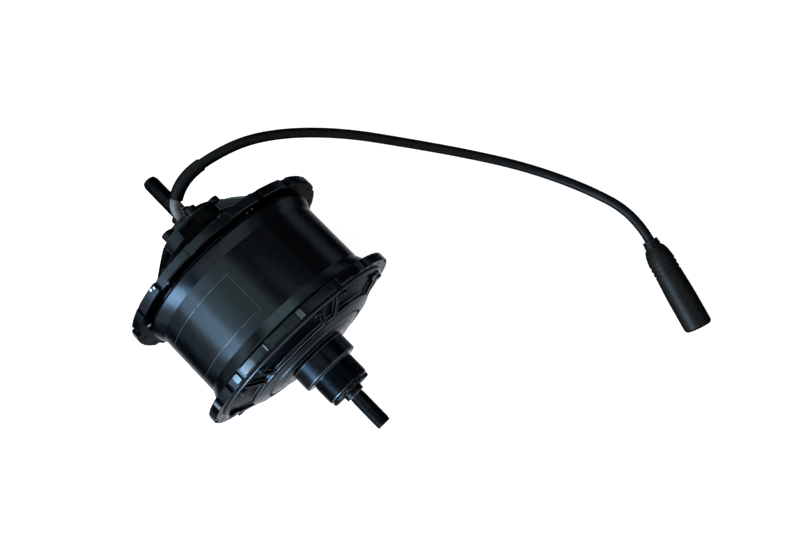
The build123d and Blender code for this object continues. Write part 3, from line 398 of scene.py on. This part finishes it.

# base and other are the two tones that drift over the surface, rough the two roughnesses that go with
# them; grain, turned and layer are sizes in millimetres, and a chip, glint or painted highlight spot is its
# place and size;
# a highlit facet is a painted highlight given by its angle from the top in degrees, its place along the axle
# and its half width and half height
finishLooks = {
    "shellBlack": {
        "base": (0.016, 0.018, 0.0205), "other": (0.019, 0.0215, 0.024), "metal": 1.0, "tint": 0.36,
        "rough": (0.20, 0.23), "grain": 0.35, "bump": 0.002, "turned": 0.25, "turnedBump": 0.0015,
        "wearAndSheen": 0.3, "wearAndSheenColour": (0.10, 0.105, 0.115), "dust": 0.04,
        # paint chips on the disc flange; the last two are painted glints at spoke holes on its inner face
        "chipsAndGlints": [((-0.0622, 0.0353, 0.0396), 0.0017), ((-0.0366, 0.0405, 0.0750), 0.0009),
                  ((-0.0340, 0.0395, 0.0762), 0.0007), ((-0.0312, 0.0388, 0.0774), 0.0009),
                  ((-0.0299, 0.0363, 0.0779), 0.0007), ((-0.0259, 0.0353, 0.0753), 0.0010),
                  ((0.0403, 0.0353, 0.0634), 0.0007), ((0.0443, 0.0353, 0.0619), 0.0007)],
        "chipAndGlintColour": (0.72, 0.72, 0.70), "paintedHighlightColour": (0.052, 0.058, 0.062),
        # painted highlights on two drive-side lug faces
        "polished": [((-0.0254, -0.0392, 0.0794), 0.0062), ((-0.0357, -0.0392, 0.0754), 0.0032)],
        # painted highlights on single lug faces
        "highlitFacets": [(15.0, -0.0390, 0.0020, 0.0028), (-5.5, -0.0390, 0.0005, 0.0024),
                   (-47.9, -0.0392, 0.0021, 0.0028)], "facetHighlightColour": (0.17, 0.19, 0.21),
    },
    "coverBlack": {
        # the lighter edge colour runs nearly all along its bevels and turned rings: painted sheen where the
        # edges catch light
        "base": (0.0052, 0.0069, 0.0088), "other": (0.0075, 0.0095, 0.0116), "metal": 1.0, "tint": 0.5,
        "rough": (0.22, 0.29), "grain": 0.55, "bump": 0.006, "wearAndSheen": 1.0,
        # recess is the bluish black of the pocket floors: painted shade in the cast pockets
        "wearAndSheenColour": (0.075, 0.083, 0.092), "dust": 0.05, "recess": (0.0026, 0.0044, 0.0066),
    },
    # a copy of the cover finish with dimmer grazing reflections: painted shade on the disc side cover
    "discCoverShadedBlack": {
        "base": (0.0085, 0.0092, 0.0090), "other": (0.0120, 0.0130, 0.0128), "metal": 1.0, "tint": 0.12,
        "rough": (0.30, 0.40), "grain": 0.6, "bump": 0.010, "wearAndSheen": 0.8,
        "wearAndSheenColour": (0.085, 0.092, 0.092), "dust": 0.05,
    },
    "filmBlack": {
        # the lighter edge colour on the film's border is a painted highlight along its edge
        "base": (0.0148, 0.0174, 0.0188), "other": (0.0168, 0.0194, 0.0208), "metal": 1.0, "tint": 0.36,
        "rough": (0.23, 0.26), "grain": 0.25, "bump": 0.001, "wearAndSheen": 0.75,
        "wearAndSheenColour": (0.082, 0.095, 0.10), "dust": 0.03,
    },
    "axleBlack": {
        "base": (0.0062, 0.0060, 0.0062), "other": (0.0102, 0.0100, 0.0102), "metal": 1.0, "tint": 0.24,
        "rough": (0.26, 0.36), "grain": 0.4, "bump": 0.006, "turned": 0.22, "turnedBump": 0.008,
        "wearAndSheen": 0.6, "wearAndSheenColour": (0.32, 0.32, 0.33), "dust": 0.10,
    },
    # a darker, duller copy of the cover finish: painted shade on the freewheel thread's ridge
    "threadShadedBlack": {
        "base": (0.0034, 0.0044, 0.0056), "other": (0.0048, 0.0060, 0.0074), "metal": 1.0, "tint": 0.12,
        "rough": (0.38, 0.48), "grain": 0.4, "bump": 0.006, "dust": 0.05,
    },
    "screwBlack": {
        "base": (0.008, 0.009, 0.011), "other": (0.014, 0.015, 0.017), "metal": 1.0, "tint": 0.4,
        "rough": (0.26, 0.36), "grain": 0.3, "bump": 0.005, "wearAndSheen": 0.3, "wearAndSheenColour": (0.10, 0.10, 0.11),
        "dust": 0.06,
    },
    "gasketPaper": {
        "base": (0.018, 0.018, 0.017), "other": (0.035, 0.034, 0.031), "metal": 0.0, "rough": (0.8, 0.95),
        "grain": 0.25, "bump": 0.03, "dust": 0.1, "specular": 0.2,
    },
    "bareAluminium": {
        "base": (0.70, 0.71, 0.73), "other": (0.80, 0.81, 0.83), "metal": 1.0, "rough": (0.26, 0.38),
        "grain": 0.4, "bump": 0.006, "turned": 0.35, "turnedBump": 0.01,
    },
    "lamination": {
        "base": (0.30, 0.32, 0.35), "other": (0.42, 0.44, 0.47), "metal": 1.0, "rough": (0.35, 0.5),
        "grain": 0.5, "bump": 0.006, "layer": 0.5, "radial": 0.0, "layerBump": 0.05,
        "layerColour": (0.09, 0.09, 0.10),
    },
    "copperWinding": {
        "base": (0.56, 0.20, 0.07), "other": (0.72, 0.30, 0.12), "metal": 1.0, "rough": (0.22, 0.34),
        "grain": 0.6, "bump": 0.01, "layer": 0.95, "radial": 1.0, "layerBump": 0.35,
        "layerColour": (0.20, 0.055, 0.02), "coat": 0.6,
    },
    "boardGreen": {
        "base": (0.010, 0.11, 0.045), "other": (0.018, 0.16, 0.07), "metal": 0.0, "rough": (0.28, 0.36),
        "grain": 0.8, "bump": 0.01, "layer": 2.6, "radial": 1.0, "layerBump": 0.03,
        "layerColour": (0.025, 0.2, 0.09),
    },
    "wireInsulation": {
        "base": (0.010, 0.010, 0.011), "other": (0.020, 0.020, 0.021), "metal": 0.0, "rough": (0.5, 0.62),
        "grain": 0.5, "bump": 0.02,
    },
    "gearSteel": {
        "base": (0.42, 0.42, 0.44), "other": (0.56, 0.56, 0.58), "metal": 1.0, "rough": (0.24, 0.36),
        "grain": 0.35, "bump": 0.005, "turned": 0.3, "turnedBump": 0.006,
    },
    "gearNylon": {
        "base": (0.66, 0.62, 0.50), "other": (0.76, 0.73, 0.62), "metal": 0.0, "rough": (0.42, 0.55),
        "grain": 0.7, "bump": 0.012, "subsurface": 0.15,
    },
    "bearingSteel": {
        "base": (0.62, 0.63, 0.65), "other": (0.70, 0.71, 0.73), "metal": 1.0, "rough": (0.10, 0.18),
        "grain": 0.3, "bump": 0.002, "turned": 0.2, "turnedBump": 0.002,
    },
    "springSteel": {
        "base": (0.06, 0.062, 0.07), "other": (0.11, 0.11, 0.12), "metal": 1.0, "rough": (0.35, 0.48),
        "grain": 0.4, "bump": 0.008,
    },
    "magnetNickel": {
        "base": (0.55, 0.54, 0.50), "other": (0.64, 0.63, 0.60), "metal": 1.0, "rough": (0.16, 0.26),
        "grain": 0.6, "bump": 0.006,
    },
    "sealRubber": {
        "base": (0.008, 0.008, 0.008), "other": (0.016, 0.016, 0.016), "metal": 0.0, "rough": (0.5, 0.65),
        "grain": 0.4, "bump": 0.012, "dust": 0.2, "specular": 0.4,
    },
    "cableRubber": {
        "base": (0.010, 0.0094, 0.0092), "other": (0.0150, 0.0142, 0.0138), "metal": 1.0, "tint": 0.2,
        "rough": (0.42, 0.52), "grain": 0.45, "bump": 0.015, "dust": 0.04,
    },
    # lighter grey than the cable rubber: a painted highlight on the elbow
    "elbowRubberHighlit": {
        "base": (0.052, 0.042, 0.037), "other": (0.135, 0.110, 0.096), "metal": 0.0, "rough": (0.50, 0.62),
        "grain": 0.9, "bump": 0.05, "dust": 0.4, "specular": 0.3,
    },
    "plugBlack": {
        "base": (0.0125, 0.0118, 0.0108), "other": (0.0155, 0.0147, 0.0136), "metal": 1.0, "tint": 0.3,
        "rough": (0.44, 0.52), "grain": 0.35, "bump": 0.012, "wearAndSheen": 0.35,
        "wearAndSheenColour": (0.05, 0.055, 0.06), "dust": 0.04,
    },
    "insertBlack": {
        "base": (0.010, 0.010, 0.011), "other": (0.016, 0.016, 0.017), "metal": 0.0, "rough": (0.55, 0.68),
        "grain": 0.3, "bump": 0.01,
    },
    "contactBrass": {
        "base": (0.66, 0.46, 0.18), "other": (0.78, 0.60, 0.28), "metal": 1.0, "rough": (0.18, 0.28),
        "grain": 0.3, "bump": 0.003,
    },
}
# what every finish shares: the dust's colour and the roughness of its marks
finishShared = {"turnedRough": 0.06, "recessRough": 0.36, "wearAndSheenRough": 0.34, "chipAndGlintRough": 0.5,
                "dustRough": 0.8, "dustMetal": 0.8, "dustColour": (0.16, 0.16, 0.155)}


def makeFinish(name, look, shared):
    material, tree = emptyMaterial(name)
    where = shadeNode(tree, "TexCoord").outputs["Object"]
    grain = useGroup(tree, surfaceGrain, {"Vector": where, "Size": look["grain"]})
    colour = blendColours(tree, grain["Patch"], look["base"], look["other"])
    roughness = blendValues(tree, grain["Patch"], *look["rough"])
    metal = look["metal"]
    height = mathNode(tree, "MULTIPLY", grain["Height"], look["bump"])
    if "turned" in look:
        rings = useGroup(tree, turnedMarks, {"Vector": where, "Pitch": look["turned"]})
        height = mathNode(tree, "MULTIPLY_ADD", rings["Height"], look["turnedBump"], height)
        roughness = mathNode(tree, "MULTIPLY_ADD", rings["Height"], shared["turnedRough"], roughness)
    if "layer" in look:
        layers = useGroup(tree, layerLines, {"Vector": where, "Pitch": look["layer"],
                                             "Radial": look["radial"]})
        height = mathNode(tree, "MULTIPLY_ADD", layers["Line"], look["layerBump"], height)
        colour = blendColours(tree, softStep(tree, layers["Line"], 0.35, 0.0), colour, look["layerColour"])
    # pocket floors: the darker colour is painted shade, the higher roughness a rougher cast finish
    if "recess" in look:
        deep = shadeNode(tree, "Attribute", attribute_name="recess").outputs["Fac"]
        colour = blendColours(tree, deep, colour, look["recess"])
        roughness = blendValues(tree, deep, roughness, shared["recessRough"])
    # lighter bevelled edges: edge wear, and painted sheen where the edges catch light
    if "wearAndSheen" in look:
        edge = shadeNode(tree, "Attribute", attribute_name="rubbedAndLit").outputs["Fac"]
        wornAndLit = useGroup(tree, edgeWearAndSheen, {"Vector": where, "Edge": edge, "Amount": look["wearAndSheen"]})["Mask"]
        colour = blendColours(tree, wornAndLit, colour, look["wearAndSheenColour"])
        roughness = blendValues(tree, wornAndLit, roughness, shared["wearAndSheenRough"])
    # painted highlights: lighter patches on lug faces
    for place, size in look.get("polished", []):
        bright = useGroup(tree, chipAndHighlightSpot, {"Vector": where, "Place": place, "Size": size})["Mask"]
        colour = blendColours(tree, bright, colour, look["paintedHighlightColour"])
    # painted highlights on single lug faces
    for angle, along, wide, high in look.get("highlitFacets", []):
        bright = useGroup(tree, facetHighlightPatch, {"Vector": where, "Angle": -math.radians(angle), "Along": along,
                                              "Wide": wide, "High": high})["Mask"]
        colour = blendColours(tree, bright, colour, look["facetHighlightColour"])
    # paint chips, and painted glints at the disc flange's spoke holes
    for place, size in look.get("chipsAndGlints", []):
        chipAndGlint = useGroup(tree, chipAndHighlightSpot, {"Vector": where, "Place": place, "Size": size})["Mask"]
        colour = blendColours(tree, chipAndGlint, colour, look["chipAndGlintColour"])
        roughness = blendValues(tree, chipAndGlint, roughness, shared["chipAndGlintRough"])
    if "dust" in look:
        dust = useGroup(tree, settledDust, {"Vector": where, "Amount": look["dust"]})["Mask"]
        colour = blendColours(tree, dust, colour, shared["dustColour"])
        roughness = blendValues(tree, dust, roughness, shared["dustRough"])
        if metal == 1.0:
            metal = mathNode(tree, "SUBTRACT", 1.0, mathNode(tree, "MULTIPLY", dust, shared["dustMetal"]))
    bump = shadeNode(tree, "Bump", {"Height": height, "Strength": 1.0, "Distance": millimetre})
    shader = shadeNode(tree, "BsdfPrincipled", {
        "Base Color": colour, "Roughness": roughness, "Normal": bump.outputs[0], "Metallic": metal,
        "Specular IOR Level": look.get("specular", 0.5),
        "Specular Tint": (*[look.get("tint", 1.0)] * 3, 1),
        "Coat Weight": look.get("coat", 0.0),
        "Subsurface Weight": look.get("subsurface", 0.0),
    })
    shadeNode(tree, "OutputMaterial", {"Surface": shader.outputs[0]})
    return material


finishes = {name: makeFinish(name, look, finishShared) for name, look in finishLooks.items()}
print(len(finishes), "finishes")

bearingNames = [bearing + part for bearing in ("outboard_bearing", "drive_bearing", "disc_bearing",
                                               "rotor_bearing_1", "rotor_bearing_2")
                for part in ("_inner", "_outer", "_balls")]
# finish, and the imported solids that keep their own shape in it
carriedOver = {
    "axleBlack": ["axle_key"],
    "gasketPaper": ["drive_cover_gasket", "disc_cover_gasket"],
    "bareAluminium": ["stator_spider", "rotor_hub"],
    "lamination": ["stator_core"],
    "copperWinding": ["stator_coils"],
    "boardGreen": ["hall_sensor_board"],
    "wireInsulation": ["phase_wires", "cable_core"],
    "gearSteel": ["sun_gear", "ring_gear", "planet_carrier", "planet_pins", "clutch_inner_race",
                  "clutch_rollers", "rotor_ring"],
    "gearNylon": ["planet_gear_1", "planet_gear_2", "planet_gear_3"],
    "bearingSteel": bearingNames + ["planet_bush_1", "planet_bush_2", "planet_bush_3",
                                    "rotor_bearing_spacer"],
    "springSteel": ["planet_pin_clips", "rotor_bearing_clip", "disc_bearing_clip", "ring_gear_clip"],
    "magnetNickel": ["rotor_magnets"],
    "sealRubber": ["drive_side_seal"],
}
for finishName, nodeNames in carriedOver.items():
    for nodeName in nodeNames:
        materials = cadNodes[nodeName].data.materials
        if not materials:
            materials.append(finishes[finishName])
        for index in range(len(materials)):
            materials[index] = finishes[finishName]
print("inner solids finished")


def settle(name, bm, finishName, body, replaced=(), sharp=26):
    # a finished bmesh becomes a named piece on its body; edges over sharp degrees stay crisp
    mesh = meshFrom(name, bm)
    mesh.shade_smooth()
    mesh.set_sharp_from_angle(angle=math.radians(sharp))
    mesh.materials.append(finishes[finishName])
    piece = addToScene(bpy.data.objects.new(name, mesh))
    even = piece.modifiers.new("evenShading", "WEIGHTED_NORMAL")
    even.keep_sharp = True
    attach(piece, body)
    if replaced:
        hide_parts(*replaced)
    return piece


def axleDistance(place):
    return math.hypot(place.x, place.z)


def setAxleDistance(vert, wanted):
    share = wanted / axleDistance(vert.co)
    vert.co.x *= share
    vert.co.z *= share


def markFaces(faces, layer):
    # the finishes read the layer as a mask
    for face in faces:
        for loop in face.loops:
            loop[layer] = 1.0


# join is the distance under which loose triangles meet, and flat the angle that counts as one face;
# a bevel needs room times its own width, and goes on edges sharper than sharp degrees
edgeSettings = {"join": 0.000003, "flat": 0.6, "sharp": 30, "segments": 2, "room": 2.3}


def mergedCopy(nodeName):
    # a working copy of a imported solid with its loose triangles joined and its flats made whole
    bm = bmesh.new()
    bm.from_mesh(cadNodes[nodeName].data)
    bmesh.ops.remove_doubles(bm, verts=bm.verts, dist=edgeSettings["join"])
    bmesh.ops.dissolve_limit(bm, angle_limit=math.radians(edgeSettings["flat"]),
                             use_dissolve_boundaries=False, verts=bm.verts, edges=bm.edges)
    return bm


def breakEdges(bm, width):
    # bevels the sharp edges that have room, and marks the new faces for the lighter edge colour of edge wear
    # and painted sheen
    rubbedAndLit = bm.loops.layers.float.new("rubbedAndLit")
    room = edgeSettings["room"] * width
    sharp = math.radians(edgeSettings["sharp"])
    tight = {vert for vert in bm.verts if any(edge.calc_length() < room for edge in vert.link_edges)}
    edges = [edge for edge in bm.edges if edge.is_manifold and edge.calc_face_angle() > sharp
             and not any(vert in tight for vert in edge.verts)]
    made = bmesh.ops.bevel(bm, geom=edges, offset=width, offset_type="OFFSET",
                           segments=edgeSettings["segments"], profile=0.5, affect="EDGES",
                           clamp_overlap=False, material=-1, loop_slide=True)
    markFaces(made["faces"], rubbedAndLit)
    return len(edges)


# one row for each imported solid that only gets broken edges: finish, slot, body, bevel width in metres
dressed = {
    "hub_shell": ("shellBlack", "shell_black", "hub", 0.00028),
    "disc_side_cover": ("discCoverShadedBlack", "cover_black", "hub", 0.0003),
    "drive_cover_screws": ("screwBlack", "screw_black", "hub", 0.0002),
    "disc_cover_screws": ("screwBlack", "screw_black", "hub", 0.0002),
    "dust_disc": ("axleBlack", "axle_steel", "root", 0.0003),
    "connector_insert": ("insertBlack", "insert_black", "root", 0.00015),
    "connector_contacts": ("contactBrass", "contact_brass", "root", 0.00015),
}
for nodeName, (finishName, slotName, bodyName, width) in dressed.items():
    shape = mergedCopy(nodeName)
    count = breakEdges(shape, width)
    settle(nodeName + "_finished", shape, finishName, bodyName, [nodeName], sharp=16)
    print(nodeName, "with", count, "broken edges")


def threadRidge(start, turns, look):
    # a helical ridge round the axle's line; both ends run out into the core
    footShare, crestShare = 0.47, 0.07  # half widths of the ridge, as shares of the pitch
    bm = bmesh.new()
    foot = look["root"] - look["sink"]
    outline = [(foot, -look["pitch"] * footShare), (look["crest"], -look["pitch"] * crestShare),
               (look["crest"], look["pitch"] * crestShare), (foot, look["pitch"] * footShare)]
    verts = [bm.verts.new((0, start + along, radius)) for radius, along in outline]
    face = bm.faces.new(verts)
    count = int(round(turns * look["steps"]))
    bmesh.ops.spin(bm, geom=[face], cent=noShift, axis=wheelAxis, dvec=(0, look["pitch"] / look["steps"], 0),
                   angle=fullTurn * count / look["steps"], steps=count, use_duplicate=False)
    length = look["pitch"] * count / look["steps"]
    for vert in bm.verts:
        along = vert.co.y - start
        fade = max(0.0, min(1.0, along / look["pitch"], (length - along) / look["pitch"]))
        rise = axleDistance(vert.co) - look["root"]
        if rise > 0:
            setAxleDistance(vert, look["root"] - look["sink"] * 0.5 * (1 - fade) + rise * fade)
    bmesh.ops.recalc_face_normals(bm, faces=bm.faces)
    return bm


# drive cover: its slope over the flange face as radius and height in millimetres, where its cast pockets
# lie, and its bevel in metres
coverSettings = {"face": -42.3, "bevel": 0.00036, "pocketNear": 55.6, "pocketFar": 72.9, "pocketDepth": 0.7,
                 "pocketFloor": -1.5, "facingIn": 0.3,
                 "outerSlope": [(53.0, 9.2), (60.0, 6.5), (70.0, 3.6), (75.6, 1.4)],
                 "innerSlope": [(29.0, 14.2), (36.0, 12.4), (41.8, 11.2), (44.0, 11.3), (53.0, 9.2)]}
# freewheel thread on its boss, in metres
bossThread = {"crest": 0.01746, "root": 0.01682, "sink": 0.0002, "pitch": 0.001058, "steps": 56,
              "start": -0.0878, "turns": 15.4, "from": -0.0886, "to": -0.0705, "reach": 0.0176}


def heightAt(radius, profile):
    for (near, first), (far, second) in zip(profile, profile[1:]):
        if near <= radius <= far:
            return first + (second - first) * (radius - near) / (far - near)
    return 0.0


def inPocket(face, look):
    centre = face.calc_center_median()
    radius = axleDistance(centre) / millimetre
    height = look["face"] - centre.y / millimetre
    limit = heightAt(radius, look["outerSlope"]) - look["pocketDepth"]
    return (look["pocketNear"] < radius < look["pocketFar"] and face.normal.y < look["facingIn"]
            and look["pocketFloor"] < height < limit)


cover = mergedCopy("drive_side_cover")
for vert in cover.verts:
    onBoss = bossThread["from"] < vert.co.y < bossThread["to"]
    if onBoss and bossThread["root"] < axleDistance(vert.co) < bossThread["reach"]:
        setAxleDistance(vert, bossThread["root"])
count = breakEdges(cover, coverSettings["bevel"])
# faces in the cast pockets are marked for painted shade on their floors
recess = cover.loops.layers.float.new("recess")
markFaces([face for face in cover.faces if inPocket(face, coverSettings)], recess)
settle("drive_side_cover_finished", cover, "coverBlack", "hub", ["drive_side_cover"], sharp=16)
ridge = threadRidge(bossThread["start"], bossThread["turns"], bossThread)
settle("freewheel_thread_ridge", ridge, "threadShadedBlack", "hub", sharp=50)
print("drive cover with", count, "broken edges and its thread")

# thin turned rings on the drive cover's slope, in millimetres; crown is the flat share of a ring's width
ringSettings = {"rings": (52.2, 50.6, 48.0, 45.2, 40.4, 38.8, 34.0), "half": 0.32, "crown": 0.45,
                "rise": 0.14, "sink": 0.12, "steps": 144}


def makeRings(look, slope):
    bm = bmesh.new()
    across = [(-1.0, -look["sink"]), (-look["crown"], look["rise"]), (look["crown"], look["rise"]),
              (1.0, -look["sink"])]
    for middle in look["rings"]:
        verts = []
        for share, rise in across:
            radius = middle + share * look["half"]
            along = slope["face"] - heightAt(radius, slope["innerSlope"]) - rise
            verts.append(bm.verts.new((0, along * millimetre, radius * millimetre)))
        edges = [bm.edges.new((verts[index], verts[index - 1])) for index in range(len(verts))]
        bmesh.ops.spin(bm, geom=verts + edges, cent=noShift, axis=wheelAxis, angle=fullTurn,
                       steps=look["steps"], use_merge=True, use_duplicate=False)
    bmesh.ops.remove_doubles(bm, verts=bm.verts, dist=0.000002)
    bmesh.ops.recalc_face_normals(bm, faces=bm.faces)
    # the whole rings take the lighter edge colour: a painted sheen along them
    rubbedAndLit = bm.loops.layers.float.new("rubbedAndLit")
    markFaces(bm.faces, rubbedAndLit)
    return bm


settle("drive_cover_turned_rings", makeRings(ringSettings, coverSettings), "coverBlack", "hub")

# threads, flats and centre holes of the axle's ends, in metres; runIn is the plain length at each end of a
# thread, and near, close and far the slack in finding the solid's own vertices
axleThread = {"crest": 0.006, "root": 0.00536, "sink": 0.0002, "pitch": 0.00125, "steps": 40, "runIn": 0.0011,
              "flat": 0.005, "flatLength": 0.0136, "bevel": 0.0003, "tipRadius": 0.005, "centreHole": 0.0014,
              "centreDepth": 0.0016, "centreShare": 0.12, "near": 0.00001, "close": 0.00004, "far": 0.00005}
axleEnds = [{"name": "drive_axle_thread_ridge", "way": -1, "shoulder": -0.0953, "tip": -0.1245},
            {"name": "disc_axle_thread_ridge", "way": 1, "shoulder": 0.0901, "tip": 0.1245}]


def cutToRoot(bm, end, look):
    # takes the end's plain cylinder down to the thread's root, and keeps the corners of its flats
    half = math.sqrt(look["root"] ** 2 - look["flat"] ** 2)
    for vert in bm.verts:
        past = (vert.co.y - end["shoulder"]) * end["way"]
        onCrest = abs(axleDistance(vert.co) - look["crest"]) < look["close"]
        onFlat = past < look["flatLength"] + look["near"] and abs(vert.co.z) > look["flat"] - look["far"]
        if past > -look["near"] and onCrest:
            if onFlat:
                vert.co.x = math.copysign(half, vert.co.x)
            else:
                setAxleDistance(vert, look["root"])


def drillCentre(bm, end, look):
    caps = [face for face in bm.faces if abs(face.calc_center_median().y - end["tip"]) < look["near"]]
    if len(caps) == 1:
        bmesh.ops.inset_region(bm, faces=caps, thickness=look["tipRadius"] - look["centreHole"])
        inner = caps[0].verts[:]
        bmesh.ops.translate(bm, verts=inner, vec=(0, -end["way"] * look["centreDepth"], 0))
        bmesh.ops.scale(bm, verts=inner, vec=(look["centreShare"], 1, look["centreShare"]))


def clampToFlats(bm, end, look):
    # keeps a thread's crest under the milled flats
    limit = look["flat"] - look["near"]
    for vert in bm.verts:
        if (vert.co.y - end["shoulder"]) * end["way"] < look["flatLength"]:
            vert.co.z = max(-limit, min(limit, vert.co.z))


axleShape = mergedCopy("axle")
for end in axleEnds:
    cutToRoot(axleShape, end, axleThread)
    drillCentre(axleShape, end, axleThread)
count = breakEdges(axleShape, axleThread["bevel"])
settle("axle_finished", axleShape, "axleBlack", "root", ["axle"])
for end in axleEnds:
    low, high = sorted((end["shoulder"], end["tip"]))
    turns = (high - low - 2 * axleThread["runIn"]) / axleThread["pitch"]
    ridge = threadRidge(low + axleThread["runIn"], turns, axleThread)
    clampToFlats(ridge, end, axleThread)
    settle(end["name"], ridge, "axleBlack", "root", sharp=50)
print("axle with", count, "broken edges and two threads")

# the bare film on the barrel, a blank place for a label: metres, and degrees from the top
filmSettings = {"radius": 0.06963, "low": -0.0167, "high": 0.0143, "top": 3.5, "bottom": -62.0, "steps": 40,
                "thickness": 0.00009, "border": 0.00026}


def makeFilm(look):
    bm = bmesh.new()
    turn = Matrix.Rotation(math.radians(look["bottom"]), 3, wheelAxis)
    ends = [bm.verts.new(turn @ Vector((0, along, look["radius"]))) for along in (look["low"], look["high"])]
    line = bm.edges.new(ends)
    bmesh.ops.spin(bm, geom=ends + [line], cent=noShift, axis=wheelAxis, steps=look["steps"],
                   angle=math.radians(look["top"] - look["bottom"]), use_duplicate=False)
    bmesh.ops.recalc_face_normals(bm, faces=bm.faces)
    if bm.faces[:][0].normal.z < 0:
        bmesh.ops.reverse_faces(bm, faces=bm.faces)
    rubbedAndLit = bm.loops.layers.float.new("rubbedAndLit")
    # the border band takes the lighter edge colour: a painted highlight along the film's edge
    border = bmesh.ops.inset_region(bm, faces=bm.faces, thickness=look["border"], use_boundary=True)["faces"]
    markFaces(border, rubbedAndLit)
    bmesh.ops.solidify(bm, geom=bm.faces[:], thickness=-look["thickness"])
    bmesh.ops.recalc_face_normals(bm, faces=bm.faces)
    return bm


settle("bare_label_film", makeFilm(filmSettings), "filmBlack", "hub")


def lathe(outline, steps, place):
    # spins a closed outline of (radius, along) in millimetres, then puts it in place
    bm = bmesh.new()
    verts = [bm.verts.new((radius * millimetre, 0, along * millimetre)) for radius, along in outline]
    edges = [bm.edges.new((verts[index], verts[index - 1])) for index in range(1, len(verts))]
    if outline[0][0] > 0 and outline[-1][0] > 0:
        edges.append(bm.edges.new((verts[0], verts[-1])))
    bmesh.ops.spin(bm, geom=verts + edges, cent=noShift, axis=(0, 0, 1), angle=fullTurn, steps=steps,
                   use_merge=True, use_duplicate=False)
    bmesh.ops.remove_doubles(bm, verts=bm.verts, dist=0.000002)
    bmesh.ops.recalc_face_normals(bm, faces=bm.faces)
    bmesh.ops.transform(bm, matrix=place, verts=bm.verts)
    return bm


# seal with two lips and a spring groove in the disc cover
sealSettings = {"steps": 96, "bevel": 0.00012, "outline": [
    (10.08, 73.0), (15.5, 73.0), (15.5, 79.0), (14.3, 79.0), (13.9, 78.3), (12.2, 78.3), (11.8, 78.8),
    (11.0, 78.8), (10.5, 78.0), (10.08, 77.2), (10.5, 76.2), (10.5, 75.2), (10.08, 74.4)]}
alongAxle = Matrix.Rotation(math.radians(-90), 4, "X")
seal = lathe(sealSettings["outline"], sealSettings["steps"], alongAxle)
breakEdges(seal, sealSettings["bevel"])
settle("disc_side_seal_lips", seal, "sealRubber", "hub", ["disc_side_seal"])
print("label film and seal")

# elbow, sleeve and cable: radius and route in metres, and the share of the radius at each point
cordSettings = {
    "elbow": {"radius": 0.0037, "shares": (1.18, 1.0, 1.0, 1.06),
              "route": [(0.0, 0.084, 0.004), (0.0, 0.084, 0.0115), (0.0024, 0.0897, 0.0179),
                        (0.0075, 0.0925, 0.0195)]},
    "sleeve": {"radius": 0.0049, "shares": (1.0, 1.0, 0.95),
               "route": [(0.0075, 0.0925, 0.0195), (0.02025, 0.0995, 0.0235), (0.03825, 0.0968, 0.0214)]},
    "cable": {"radius": 0.0038, "shares": (1.0,) * 10,
              "route": [(0.03825, 0.0968, 0.0214), (0.06225, 0.0932, 0.0186), (0.0945, 0.08, -0.001),
                        (0.1285, 0.055, -0.028), (0.16, 0.02, -0.052), (0.191, -0.0185, -0.07),
                        (0.2185, -0.0595, -0.0795), (0.2395, -0.106, -0.0795), (0.2494, -0.148, -0.0724),
                        (0.2424, -0.171, -0.0724)]},
}


def layCord(name, look, finishName, replaced):
    curve = bpy.data.curves.new(name, "CURVE")
    curve.dimensions = "3D"
    curve.bevel_depth = look["radius"]
    curve.bevel_resolution = 8
    curve.resolution_u = 24
    curve.use_fill_caps = True
    line = curve.splines.new("NURBS")
    line.points.add(len(look["route"]) - 1)
    for point, place, share in zip(line.points, look["route"], look["shares"]):
        point.co = (*place, 1)
        point.radius = share
    line.order_u = 3
    line.use_endpoint_u = True
    line.use_smooth = True
    curve.materials.append(finishes[finishName])
    piece = addToScene(bpy.data.objects.new(name, curve))
    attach(piece, "root")
    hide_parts(replaced)
    return piece


elbow = layCord("cable_elbow_moulded", cordSettings["elbow"], "elbowRubberHighlit", "cable_elbow")
sleeve = layCord("cable_sleeve_moulded", cordSettings["sleeve"], "cableRubber", "cable_sleeve")
cable = layCord("motor_cable_flexible", cordSettings["cable"], "cableRubber", "motor_cable")

# ringed collar and moulded body of the plug: outlines of (radius, along) in millimetres from place, which
# is the cable's last point, on the line from before
plugSettings = {
    "place": (0.2424, -0.171, -0.0724), "before": (0.2494, -0.148, -0.0724), "steps": 96, "bevel": 0.0000625,
    "collar": [(0, 0), (5.7, 0), (6.1, 0.5), (6.1, 2.0), (5.9, 2.4), (6.3, 2.5), (6.6, 2.7), (6.6, 3.1),
               (6.05, 3.25), (6.05, 3.65), (6.6, 3.8), (6.6, 4.9), (6.05, 5.05), (6.05, 5.45), (6.6, 5.6),
               (6.6, 6.6), (0, 6.6)],
    "body": [(0, 6.6), (7.2, 6.6), (7.5, 6.9), (8.3, 8.6), (8.95, 10.4), (9.45, 12.4), (9.8, 14.6),
             (10.15, 16.8), (10.4, 18.8), (10.4, 20.2), (9.85, 20.4), (9.85, 21.4), (10.4, 21.6),
             (10.4, 24.1), (9.85, 24.3), (9.85, 25.3), (10.4, 25.5), (10.4, 28.0), (9.85, 28.2),
             (9.85, 29.2), (10.4, 29.4), (10.4, 32.2), (10.6, 38.0), (10.85, 44.5), (11.0, 51.0),
             (11.0, 75.6), (10.7, 76.6), (10.2, 77.3), (9.6, 77.75), (9.3, 77.9), (9.0, 77.9), (9.0, 64.0),
             (0, 64.0)],
}
plugWay = (Vector(plugSettings["place"]) - Vector(plugSettings["before"])).normalized()
plugPlace = Matrix.Translation(plugSettings["place"]) @ plugWay.to_track_quat("Z", "X").to_matrix().to_4x4()


def plugPiece(name, outline, finishName, replaced):
    shape = lathe(outline, plugSettings["steps"], plugPlace)
    breakEdges(shape, plugSettings["bevel"])
    return settle(name, shape, finishName, "root", [replaced], sharp=32)


collar = plugPiece("connector_collar_ringed", plugSettings["collar"], "cableRubber",
                   "connector_collar")
plug = plugPiece("connector_body_moulded", plugSettings["body"], "plugBlack",
                 "connector_body")
print("cable and plug")
